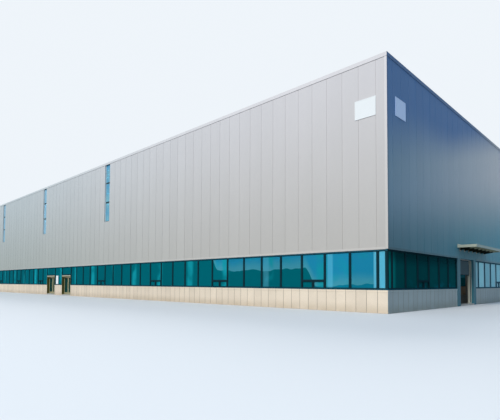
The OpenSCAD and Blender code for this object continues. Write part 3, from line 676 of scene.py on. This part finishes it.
# Ribbon window frames
# Dark anodised aluminium mullions with snapped-on caps stand on the window grid between a sill
# rail and a head rail. A pair of small sashes opens above the sill in about one window to a bay.
# The sill rails, the head rails of the long walls and the frames on the right end past the entrance are
# lighter, as painted sky reflection.
frame_color = (0.009, 0.035, 0.046)
sill_rail_sheen_color = (0.008, 0.075, 0.105)
head_rail_sheen_color = (0.045, 0.22, 0.3)
sheen_color = (0.06, 0.13, 0.17)
head_level = 1.625
rail_height = 0.04
past_entry = (-3.4, -3.2)
sky_fade = (0.0, 2.0)
dark_frame, tree, shader = new_finish("dark_frame", frame_color, 0.4, 0.0, 0.0)
place, x, y, z = object_place(tree)
# Painted reflection: the sill rail is a lighter teal.
sill_mask = reckon(tree, "LESS_THAN", z, sill_level + rail_height - 0.006)
base = blend_colors(tree, sill_mask, frame_color, sill_rail_sheen_color)
long_wall = reckon(tree, "SUBTRACT", 1.0, end_wall_mask(tree, x, y))
# Painted reflection: the head rails of the long walls are a lighter teal, against their shade under the
# drip flashing.
head_mask = reckon(tree, "GREATER_THAN", z, head_level - rail_height + 0.004)
base = blend_colors(tree, multiply(tree, head_mask, long_wall), base, head_rail_sheen_color)
right_end = reckon(tree, "GREATER_THAN", x, hall_length / 2 - 0.3)
sheen = multiply(tree, ramp(tree, y, *past_entry), ramp(tree, y, *sky_fade, 1.0, 0.0), right_end)
base = blend_colors(tree, sheen, base, sheen_color)
tone = mottle_color(tree, shader, base, Waves=3.0, Patches=0.25, Grain_Waves=150.0, Grain=0.1)
vary_roughness(tree, shader, tone["Patch Mask"], 0.3, 0.2)
dress(dark_frame, "front_window_frames", "right_window_frames", "back_window_frames",
      "left_window_frames", "door_screen")
mullion_width = 0.05
bead_width = 0.014
sash_width = 0.03
sash_lap = 0.02
pane_centre = 0.055


def wall_boxes(name, wall):
    """Each solid of a CAD node as (wall, low, high) in the wall's own measure, from left to right."""
    form = bmesh.new()
    form.from_mesh(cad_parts[name].data)
    form.transform(wall_frames[wall].inverted())
    bmesh.ops.remove_doubles(form, verts=form.verts, dist=0.0001)
    waiting = dict.fromkeys(form.verts)
    boxes = []
    while waiting:
        solid = [next(iter(waiting))]
        del waiting[solid[0]]
        for vert in solid:
            for side in vert.link_edges:
                other = side.other_vert(vert)
                if other in waiting:
                    del waiting[other]
                    solid.append(other)
        low = Vector([min(vert.co[axis] for vert in solid) for axis in range(3)])
        high = Vector([max(vert.co[axis] for vert in solid) for axis in range(3)])
        boxes.append((wall, low, high))
    form.free()
    return sorted(boxes, key=lambda box: (round(box[1].x, 3), box[1].z))


def ring(name, width, front, back, slope):
    """A frame round a small opening, square behind and sloped to the opening in front."""
    half = 0.05
    piece = start_box(name, (-half, front, -half), (half, back, half))
    pick(piece, "faces", lambda middle, facing: abs(facing.y) > 0.9)
    bpy.ops.mesh.inset(thickness=width)
    bpy.ops.mesh.bridge_edge_loops()
    reach = half - width + 0.001
    pick(piece, "edges", lambda middle, facing: middle.y < front + 0.0005
         and abs(middle.x) < reach and abs(middle.z) < reach)
    ease(slope)
    return piece


def fit_rings(piece, boxes, material, outside=0.0):
    """Fits rings whose outer edge stands so far outside each (wall, low, high)."""
    places = [on_wall(wall, *((low + high) / 2)) for wall, low, high in boxes]
    sizes = [(high.x - low.x + 2 * outside, high.z - low.z + 2 * outside) for wall, low, high in boxes]
    fit(piece, places, material, sizes=sizes)


ribbon_panes = []
for wall in wall_frames:
    ribbon_panes += [pane for pane in wall_boxes(f"{wall}_glass", wall)
                     if abs((pane[1].y + pane[2].y) / 2 - pane_centre) < 0.01]
full_panes = [pane for pane in ribbon_panes if pane[2].z > head_level - 2 * rail_height]
sash_panes = [pane for pane in ribbon_panes if pane[2].z < (sill_level + head_level) / 2]
beads = ring("window_beads", bead_width, -0.027, -0.006, 0.009)
fit_rings(beads, ribbon_panes, dark_frame)
sashes = ring("opening_sashes", sash_width, -0.038, -0.029, 0.004)
fit_rings(sashes, sash_panes, dark_frame, sash_lap)

cap_half = (head_level - sill_level) / 2 - rail_height
mullion_cap = start_box("mullion_caps", (-0.02, -0.004, -cap_half), (0.02, 0.004, cap_half))
ease_front(mullion_cap, 0.003)
cap_places = []
for (wall, low, high), (next_wall, next_low, _) in zip(full_panes, full_panes[1:]):
    gap = next_low.x - high.x
    if wall == next_wall and abs(gap - mullion_width) < 0.01:
        cap_places.append(on_wall(wall, high.x + gap / 2, plinth_face, (sill_level + head_level) / 2))
fit(mullion_cap, cap_places, dark_frame)

# Ribbon window glass
# Sealed units of body-tinted, mirror-coated glass, dry glazed from outside. Near the front right-hand
# corner a reflection of the sky is painted on them above a wavy line, with painted clouds and a painted
# haze below. Along the hall they are teal, with a paler band of painted light every 2 m and painted
# highlights near the corner and on the corner pane. The right end is painted a dark teal shade up to its
# entrance, with painted reflection near the corner, low down and past the entrance. No two units are
# quite alike.
pane_width = 0.8
teal_color = (0.0005, 0.17, 0.21)
deep_sky_color = (0.017, 0.31, 0.5)
pale_sky_color = (0.07, 0.38, 0.48)
band_color = (0.01, 0.38, 0.45)
haze_reflection_color = (0.005, 0.24, 0.35)
highlight_color = (0.14, 0.6, 0.8)
side_glass_shade_color = (0.0005, 0.088, 0.092)
near_side_glass_sheen_color = (0.0005, 0.29, 0.28)
shaded_side_glass_color = (0.0005, 0.018, 0.02)
side_sky_color = (0.6, 0.9, 1.0)
band_fade = (0.08, 0.26)
sky_level = 1.03
sky_waves = 0.3
sky_start = (11.3, 11.9)
sky_drop_start = (15.7, 16.1)
sky_drop = 0.5
haze_start = (15.9, 16.2)
light_bands = ((14.18, 0.16, 0.3), (16.57, 0.12, 0.5))
corner_pane = (17.87, 17.9)
near_side_fade = (-9.98, -9.7)
side_shade = (1.15, 1.55)
side_shade_share = 0.65
glass, tree, shader = new_finish("tinted_glass", teal_color, 0.04, 0.15)
place, x, y, z = object_place(tree)
end_wall = end_wall_mask(tree, x, y)
along = along_wall(tree, x, y, end_wall)
units = use_group(tree, joint_lines, Along=along, Pitch=pane_width, Offset=edge - hall_length / 2)
band_away = reckon(tree, "PINGPONG", reckon(tree, "SUBTRACT", x, edge), bay / 4)
waves = noise(tree, place, 1.4, 2)
# Painted sky reflection: deep blue high up and paler near a wavy line, with painted clouds and a painted
# haze below it.
sky_foot = reckon(tree, "MULTIPLY_ADD", waves, sky_waves, sky_level)
sky_foot = reckon(tree, "ADD", sky_foot, ramp(tree, x, *sky_start, 1.0, 0.0))
sky_foot = reckon(tree, "SUBTRACT", sky_foot, ramp(tree, x, *sky_drop_start, 0.0, sky_drop))
above = reckon(tree, "SUBTRACT", z, sky_foot)
sky_tone = blend_colors(tree, ramp(tree, above, 0.0, 0.4), pale_sky_color, deep_sky_color)
clouds = ramp(tree, noise(tree, place, 2.2, 3, (1, 1, 1.6)), 0.5, 0.75)
sky_tone = blend_colors(tree, multiply(tree, clouds, 0.4), sky_tone, band_color)
low_tone = blend_colors(tree, ramp(tree, x, *haze_start), teal_color, haze_reflection_color)
color = blend_colors(tree, ramp(tree, above, 0.0, 0.02), low_tone, sky_tone)
# Painted light: paler bands every 2 m, in patches.
bands = multiply(tree, ramp(tree, band_away, *band_fade, 1.0, 0.0), ramp(tree, waves, 0.3, 0.6))
color = blend_colors(tree, bands, color, band_color)
# Painted highlights: two bright bands near the corner, and the corner pane made bright.
for middle, half, strength in light_bands:
    away = reckon(tree, "ABSOLUTE", reckon(tree, "SUBTRACT", x, middle))
    color = blend_colors(tree, ramp(tree, away, half * 0.4, half, strength, 0.0), color, highlight_color)
color = blend_colors(tree, ramp(tree, x, *corner_pane), color, highlight_color)
# Painted shade on the right end: the glass is a dark teal, lighter near the corner as painted
# reflection, with a painted haze low down, painted shade higher up and painted sky reflection past the
# entrance.
near_side = ramp(tree, y, *near_side_fade, 1.0, 0.0)
side_tone = blend_colors(tree, near_side, side_glass_shade_color, near_side_glass_sheen_color)
low_mist = multiply(tree, ramp(tree, z, 0.6, 1.0, 0.5, 0.0), clouds)
side_tone = blend_colors(tree, low_mist, side_tone, haze_reflection_color)
high_shade = ramp(tree, z, *side_shade, 0.0, side_shade_share)
side_tone = blend_colors(tree, high_shade, side_tone, shaded_side_glass_color)
side_tone = blend_colors(tree, ramp(tree, y, *past_entry), side_tone, side_sky_color)
on_right_end = multiply(tree, end_wall, reckon(tree, "GREATER_THAN", x, 0.0),
                        ramp(tree, y, *sky_fade, 1.0, 0.0))
color = blend_colors(tree, on_right_end, color, side_tone)
color = scaled_color(tree, color, reckon(tree, "MULTIPLY_ADD", units["Piece"], 0.24, 0.88))
paint(tree, shader, color)


def make_glassy(shader, tint):
    """Lets some light through, and tints the gloss."""
    shader.inputs["Transmission Weight"].default_value = 0.3
    shader.inputs["IOR"].default_value = 1.01
    shader.inputs["Specular Tint"].default_value = (*tint, 1)


make_glassy(shader, (0.0, 0.5, 0.6))
dress(glass, "front_glass", "right_glass", "back_glass", "left_glass")

# Slit windows
# Three tall windows on each long wall take the place of one panel each. Slim dark bars and stiles hold
# sealed units, and folded steel trims them against the panels. The stiles are painted pale as painted
# light on the reveals, and the glass is painted pale blue with clouds as painted sky reflection, lighter
# towards the left-hand end.
slit_stile_light_color = (0.55, 0.65, 0.7)
slit_sky_reflection_color = (0.12, 0.42, 0.68)
slit_cloud_reflection_color = (0.3, 0.62, 0.72)
far_slit_reflection_color = (0.4, 0.68, 0.85)
slit_frame, tree, shader = new_finish("slit_frame", frame_color, 0.45, 0.0, 0.1)
place, x, y, z = object_place(tree)
stiles = use_group(tree, joint_lines, Along=x, Pitch=panel_width, Width=0.09)
# Painted light: the stiles are pale against the shade of the reveals.
mottle_color(tree, shader, blend_colors(tree, stiles["Joint"], frame_color, slit_stile_light_color))
dress(slit_frame, "slit_frames")
slit_glass, tree, shader = new_finish("slit_glass", slit_sky_reflection_color, 0.05, 0.15)
place, x, y, z = object_place(tree)
# Painted sky reflection: pale blue with clouds, lighter towards the left-hand end.
clouds = ramp(tree, noise(tree, place, 0.9, 3), 0.35, 0.65)
color = blend_colors(tree, clouds, slit_sky_reflection_color, slit_cloud_reflection_color)
color = blend_colors(tree, ramp(tree, x, -4.0, 0.0, 1.0, 0.0), color, far_slit_reflection_color)
paint(tree, shader, color)
make_glassy(shader, (0.2, 0.6, 0.8))
dress(slit_glass, "slit_glass")
slit_bottom = 3.725
slit_top = wall_top - 0.03
slit_edges = (21.8, 13.8, 5.8)
slit_panes = []
slit_openings = []
for wall in long_walls:
    slit_panes += [pane for pane in wall_boxes("slit_glass", wall) if pane[1].y < 1.0]
    for left in slit_edges:
        low = Vector((left, 0.0, slit_bottom))
        slit_openings.append((wall, low, low + Vector((panel_width, 0.0, slit_top - slit_bottom))))
slit_beads = ring("slit_beads", 0.01, -0.017, -0.006, 0.005)
fit_rings(slit_beads, slit_panes, slit_frame)
slit_trims = ring("slit_trims", 0.026, -0.003, 0.006, 0.002)
fit_rings(slit_trims, slit_openings, edge_coating_and_painted_light, 0.022)

# Front doors
# Two pairs of glazed leaves hang on pivots in olive-bronze steel linings with pale head covers
# and ribbed thresholds. The leaves are champagne-anodised aluminium with dark green glass,
# kick plates and tube pulls.
lining_color = (0.15, 0.13, 0.03)
head_cover_color = (0.5, 0.46, 0.36)
leaf_color = (0.38, 0.34, 0.19)
door_glass_color = (0.012, 0.07, 0.06)
lining, tree, shader = new_finish("door_lining", lining_color, 0.35, 0.3)
mottle_color(tree, shader, lining_color, Waves=2.5, Patches=0.3, Grain_Waves=150.0, Grain=0.1)
dress(lining, "door_linings")
leaf, tree, shader = new_finish("door_leaf", leaf_color, 0.35, 0.3, 0.1)
mottle_color(tree, shader, leaf_color, Waves=2.5, Patches=0.15, Grain_Waves=150.0, Grain=0.1)
door_glass, tree, shader = new_finish("door_glass", door_glass_color, 0.05, 0.15)
mottle_color(tree, shader, door_glass_color, Waves=2.0, Patches=0.6, Grain_Waves=10.0, Grain=0.0)
make_glassy(shader, (0.1, 0.5, 0.5))
head_finish, tree, shader = new_finish("door_head", head_cover_color, 0.4, 0.2, 0.2)
mottle_color(tree, shader, head_cover_color, Waves=2.5, Patches=0.15, Grain_Waves=150.0, Grain=0.1)
leaf_centre = 0.1525
stile_width = 0.045
pull_level = 0.554
pull_spacing = 0.12
lock_drop = 0.205
kick_drop = 0.05


def add_disc(radius, height, place):
    """A turned disc with an eased rim, joined to the piece being edited, facing out of the wall."""
    bpy.ops.mesh.primitive_cylinder_add(vertices=24, radius=radius, depth=height, location=place,
                                        rotation=(math.pi / 2, 0, 0))
    ease(height * 0.3)


def both_faces(along, depth, level):
    """The places for a piece on the outer and the inner face of a leaf."""
    face = on_wall("front", along, depth, level)
    return [face, face @ Matrix.Rotation(math.pi, 4, "Z")]


for door in ("near", "far"):
    for side, hand in (("left", 1), ("right", -1)):
        body = f"{door}_door_{side}"
        dress(leaf, f"{body}_leaf")
        dress(door_glass, f"{body}_glass")
        _, low, high = wall_boxes(f"{body}_glass", "front")[0]
        middle = (low + high) / 2
        stile = (high.x if hand > 0 else low.x) + hand * stile_width / 2
        beading = ring(f"{body}_beads", 0.012, -0.014, -0.006, 0.006)
        glass_size = (high.x - low.x, high.z - low.z)
        fit(beading, both_faces(*middle), leaf, body, [glass_size, glass_size])
        kick = start_box(f"{body}_kick_plates", (-0.21, -0.0145, -0.035), (0.21, -0.0115, 0.035))
        ease_front(kick, 0.001)
        add_bolts(0.004, 0.002, "Y", -0.015, (-0.195, 0.195), (-0.025, 0.025))
        fit(kick, both_faces(middle.x, leaf_centre, low.z - kick_drop), leaf, body)
        roses = start_box(f"{body}_roses", (-0.012, -0.0155, -0.23), (0.012, -0.012, -0.18))
        ease_front(roses, 0.002)
        add_disc(0.013, 0.005, (0, -0.0135, pull_spacing))
        add_disc(0.013, 0.005, (0, -0.0135, -pull_spacing))
        add_disc(0.008, 0.005, (0, -0.0165, -lock_drop))
        fit(roses, both_faces(stile, leaf_centre, pull_level), steel, body)

lining_face = 0.017
head_cover_level = 1.115
jamb_inset = 0.0125
jamb_middle = 0.55
rib_level = 0.059
rib_start = 0.04
rib_pitch = 0.016
head_places = []
jamb_places = []
rib_places = []
for left, right in (door_edges[:2], door_edges[2:]):
    middle = (left + right) / 2
    head_places.append(on_wall("front", middle, lining_face, head_cover_level))
    for jamb in (left + jamb_inset, right - jamb_inset):
        jamb_places.append(on_wall("front", jamb, lining_face, jamb_middle))
    for step in range(6):
        rib_places.append(on_wall("front", middle, rib_start + step * rib_pitch, rib_level))
head_cover = start_box("door_head_covers", (-0.57, -0.004, -0.02), (0.57, 0.002, 0.02))
ease_front(head_cover, 0.003)
pick(head_cover, "faces", lambda middle, facing: facing.y < -0.99)
bpy.ops.mesh.inset(thickness=0.008)
bpy.ops.transform.translate(value=(0, 0.002, 0))
fit(head_cover, head_places, head_finish)
jamb_cover = start_box("door_jamb_covers", (-0.0115, -0.003, -0.49), (0.0115, 0.002, 0.49))
ease_front(jamb_cover, 0.002)
fit(jamb_cover, jamb_places, lining)
rib = start_box("threshold_ribs", (-0.53, -0.002, -0.0015), (0.53, 0.002, 0.0015))
ease_top(rib, 0.001)
fit(rib, rib_places, steel)

# End entrance and canopy
# The opening between two clad piers has cream-painted posts, dark side lights and a grey panel over the
# doorway; a painted shadow darkens the frame at the head. A cream steel canopy shelters it on brackets,
# with painted shade on its outer face. Its underside is boarded, and the boards and the bracket webs are
# painted dark as painted shade, with a painted highlight along each bracket's lower outer flange.
post_color = (0.62, 0.6, 0.48)
grey_panel_color = (0.1, 0.145, 0.16)
canopy_color = (0.43, 0.46, 0.37)
shaded_canopy_color = (0.13, 0.25, 0.24)
soffit_shade_color = (0.025, 0.03, 0.022)
flange_highlight_color = (0.6, 0.64, 0.46)
canopy_start = 5.1
canopy_length = 3.2
canopy_reach = 0.6
canopy_top = 2.065
deck_underside = 2.053
deck_sheet = 0.006
bracket_root = 1.903
bracket_tip = 1.985
brackets = 7
bracket_pitch = 0.45
bracket_first = canopy_start + (canopy_length - (brackets - 1) * bracket_pitch) / 2
flange_depth = 0.045
shoe_level = 1.96
soffit_boards = 42
soffit_pitch = 0.0756
soffit_margin = 0.05
post, tree, shader = new_finish("entrance_post", post_color, 0.45)
place, x, y, z = object_place(tree)
# Painted shadow: the frame above the head level takes the dark frame colour.
head_mask = reckon(tree, "GREATER_THAN", z, head_level - rail_height)
painted = blend_colors(tree, head_mask, post_color, frame_color)
mottle_color(tree, shader, painted, Waves=2.0, Patches=0.12, Grain_Waves=120.0, Grain=0.05)
dress(post, "entrance_frame")
grey_panel, tree, shader = new_finish("grey_panel", grey_panel_color, 0.5, 0.0, 0.0)
mottle_color(tree, shader, grey_panel_color, Waves=2.0, Patches=0.2, Grain_Waves=120.0, Grain=0.05)
dress(grey_panel, "entrance_panel")
canopy, tree, shader = new_finish("canopy", canopy_color, 0.45)
place, x, y, z = object_place(tree)
# Painted shade: the outer face of the canopy is a darker grey-green.
outer_face = reckon(tree, "GREATER_THAN", x, hall_length / 2 + canopy_reach - deck_sheet)
base = blend_colors(tree, outer_face, canopy_color, shaded_canopy_color)
mottle_color(tree, shader, base, Waves=2.0, Patches=0.14, Grain_Waves=120.0, Grain=0.05)
dress(canopy, "canopy_deck")
# Painted shade: the soffit boards are near black.
soffit_finish, tree, shader = new_finish("canopy_soffit", soffit_shade_color, 0.8, 0.0, 0.0)
mottle_color(tree, shader, soffit_shade_color, Waves=3.0, Patches=0.3, Grain_Waves=90.0, Grain=0.2)
bracket_finish, tree, shader = new_finish("canopy_bracket", canopy_color, 0.5, 0.0, 0.0)
place, x, y, z = object_place(tree)
# Painted highlight along the lower outer flange of each bracket; the webs above it take the painted
# soffit shade.
out = reckon(tree, "DIVIDE", reckon(tree, "SUBTRACT", x, hall_length / 2), canopy_reach)
lower_edge = reckon(tree, "MULTIPLY_ADD", out, bracket_tip - bracket_root, bracket_root + flange_depth)
flange = multiply(tree, reckon(tree, "LESS_THAN", z, lower_edge), ramp(tree, out, 0.5, 0.6))
mottle_color(tree, shader, blend_colors(tree, flange, soffit_shade_color, flange_highlight_color), Patches=0.2)
dress(bracket_finish, "canopy_brackets")

board_half = canopy_reach / 2 - deck_sheet
soffit_board = start_box("canopy_soffit", (-0.036, -board_half, -0.004), (0.036, board_half, 0.004))
pick(soffit_board, "edges", lambda middle, facing: abs(facing.y) > 0.9 and middle.z < 0)
ease(0.004, 2)
board_places = wall_row(("right",), canopy_start + soffit_margin, soffit_pitch, soffit_boards,
                        deck_sheet - canopy_reach / 2, deck_underside - 0.003)
fit(soffit_board, board_places, soffit_finish)

shoe = start_box("canopy_shoes", (-0.045, -0.008, -0.085), (0.045, 0.002, 0.085))
ease_front(shoe, 0.002)
add_bolts(0.009, 0.008, "Y", -0.012, (-0.033, 0.033), (-0.06, 0.03))
shoe_places = wall_row(("right",), bracket_first, bracket_pitch, brackets, 0, shoe_level)
fit(shoe, shoe_places, canopy)

upstand = start_box("canopy_flashing", (canopy_start, -0.03, canopy_top - 0.001),
                    (canopy_start + canopy_length, 0.001, canopy_top + 0.035))
pick(upstand, "edges", lambda middle, facing: middle.z > canopy_top + 0.03 and middle.y < -0.029)
ease(0.024)
fit(upstand, [wall_frames["right"]], canopy)

side_lights = [pane for pane in wall_boxes("right_glass", "right") if pane[1].y > 0.1]
side_light_beads = ring("side_light_beads", 0.012, -0.03, -0.006, 0.008)
fit_rings(side_light_beads, side_lights, dark_frame)
panel_trim = ring("entrance_panel_trim", 0.022, -0.014, -0.009, 0.002)
fit_rings(panel_trim, wall_boxes("entrance_panel", "right")[:1], dark_frame)

# Boards
# Three bare white boards of coated aluminium sheet, each with a thin raised rim: one high on each
# visible wall and one between the front doors. The one on the end wall is painted a blue shade.
board_color = (0.86, 0.88, 0.88)
shaded_board_color = (0.5332, 0.704, 0.9856)
board, tree, shader = new_finish("white_board", board_color, 0.5)
place, x, y, z = object_place(tree)
# Painted shade: the board on the end wall is a darker blue.
white = blend_colors(tree, end_wall_mask(tree, x, y), board_color, shaded_board_color)
mottle_color(tree, shader, white, Waves=1.5, Patches=0.05, Grain_Waves=120.0, Grain=0.02)
dress(board, "boards")
board_boxes = []
for wall in ("front", "right"):
    board_boxes += [box for box in wall_boxes("boards", wall) if abs(box[1].y) < 0.1]
board_edges = ring("board_edges", 0.014, -0.0084, -0.001, 0.002)
fit_rings(board_edges, board_boxes, board, 0.003)

# Studio
# A pale floor under a pale background, with a broad key light from the front, a weaker one from
# behind and a dim one inside the hall. The camera stands where the photograph was taken.
floor_size = 900.0
floor_color = (0.3, 0.3, 0.3)
seen_floor_color = (0.72, 0.73, 0.74)
fill_color = (0.55, 0.76, 1.0)
fill_strength = 0.58
backdrop_color = (0.86, 0.91, 0.96)


def seen_rays(tree):
    """1 for rays that show the background: from the camera, in a reflection or through glass."""
    paths = tree.nodes.new("ShaderNodeLightPath").outputs
    seen = reckon(tree, "MAXIMUM", paths["Is Camera Ray"], paths["Is Glossy Ray"])
    return reckon(tree, "MAXIMUM", seen, paths["Is Transmission Ray"])


bpy.ops.mesh.primitive_plane_add(size=floor_size, location=(0, 0, -0.002))
studio_floor = bpy.context.object
studio_floor.name = "studio_floor"
floor_finish, tree, shader = new_finish("studio_floor", floor_color, 0.9)
paint(tree, shader, blend_colors(tree, seen_rays(tree), floor_color, seen_floor_color))
studio_floor.data.materials.append(floor_finish)
studio_floor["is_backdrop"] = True


def add_sun(name, travel, strength, spread, color):
    """A broad light that travels in one direction."""
    bpy.ops.object.light_add(type="SUN", location=tuple(-40 * part for part in travel))
    light = bpy.context.object
    light.name = name
    light.data.energy = strength
    light.data.angle = math.radians(spread)
    light.data.color = color
    light.rotation_euler = Vector(travel).to_track_quat("-Z", "Y").to_euler()


add_sun("key_light", (-0.02, 0.8, -0.6), 2.3, 20.0, (1.0, 0.97, 0.92))
add_sun("back_light", (0.45, -0.6, -0.66), 1.6, 30.0, (1.0, 0.98, 0.96))
bpy.ops.object.light_add(type="AREA", location=(0, 0, 5.3))
hall_light = bpy.context.object
hall_light.name = "hall_light"
hall_light.data.shape = "RECTANGLE"
hall_light.data.size = 30.0
hall_light.data.size_y = 14.0
hall_light.data.energy = 120.0

world = bpy.data.worlds.new("studio_world")
bpy.context.scene.world = world
world.use_nodes = True
tree = world.node_tree
tree.nodes.clear()
mix = tree.nodes.new("ShaderNodeMixShader")
feed(tree, mix.inputs[0], seen_rays(tree))
for share, color, strength in ((1, fill_color, fill_strength), (2, backdrop_color, 1.0)):
    background = tree.nodes.new("ShaderNodeBackground")
    feed(tree, background.inputs["Color"], color)
    feed(tree, background.inputs["Strength"], strength)
    feed(tree, mix.inputs[share], background.outputs[0])
world_out = tree.nodes.new("ShaderNodeOutputWorld")
feed(tree, world_out.inputs["Surface"], mix.outputs[0])

frame_width = 500
frame_height = 420
sensor_width = 36.0
focal_length = 422.64
centre_line = 266.4
camera_place = (23.123, -20.257, 0.752)
camera_heading = 43.959
camera_tilt = 92.249
camera_roll = 0.269
camera_data = bpy.data.cameras.new("camera")
camera_data.sensor_width = sensor_width
camera_data.lens = focal_length / frame_width * sensor_width
camera_data.shift_y = (centre_line - frame_height / 2) / frame_width
camera_data.clip_end = 1000
camera = bpy.data.objects.new("camera", camera_data)
bpy.context.scene.collection.objects.link(camera)
camera.location = camera_place
camera.rotation_mode = "QUATERNION"
camera.rotation_quaternion = (
    Quaternion((0, 0, 1), math.radians(camera_heading))
    @ Quaternion((1, 0, 0), math.radians(camera_tilt))
    @ Quaternion((0, 0, 1), math.radians(camera_roll))
)
bpy.context.scene.camera = camera
bpy.context.scene.view_settings.view_transform = "Standard"

low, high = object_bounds()
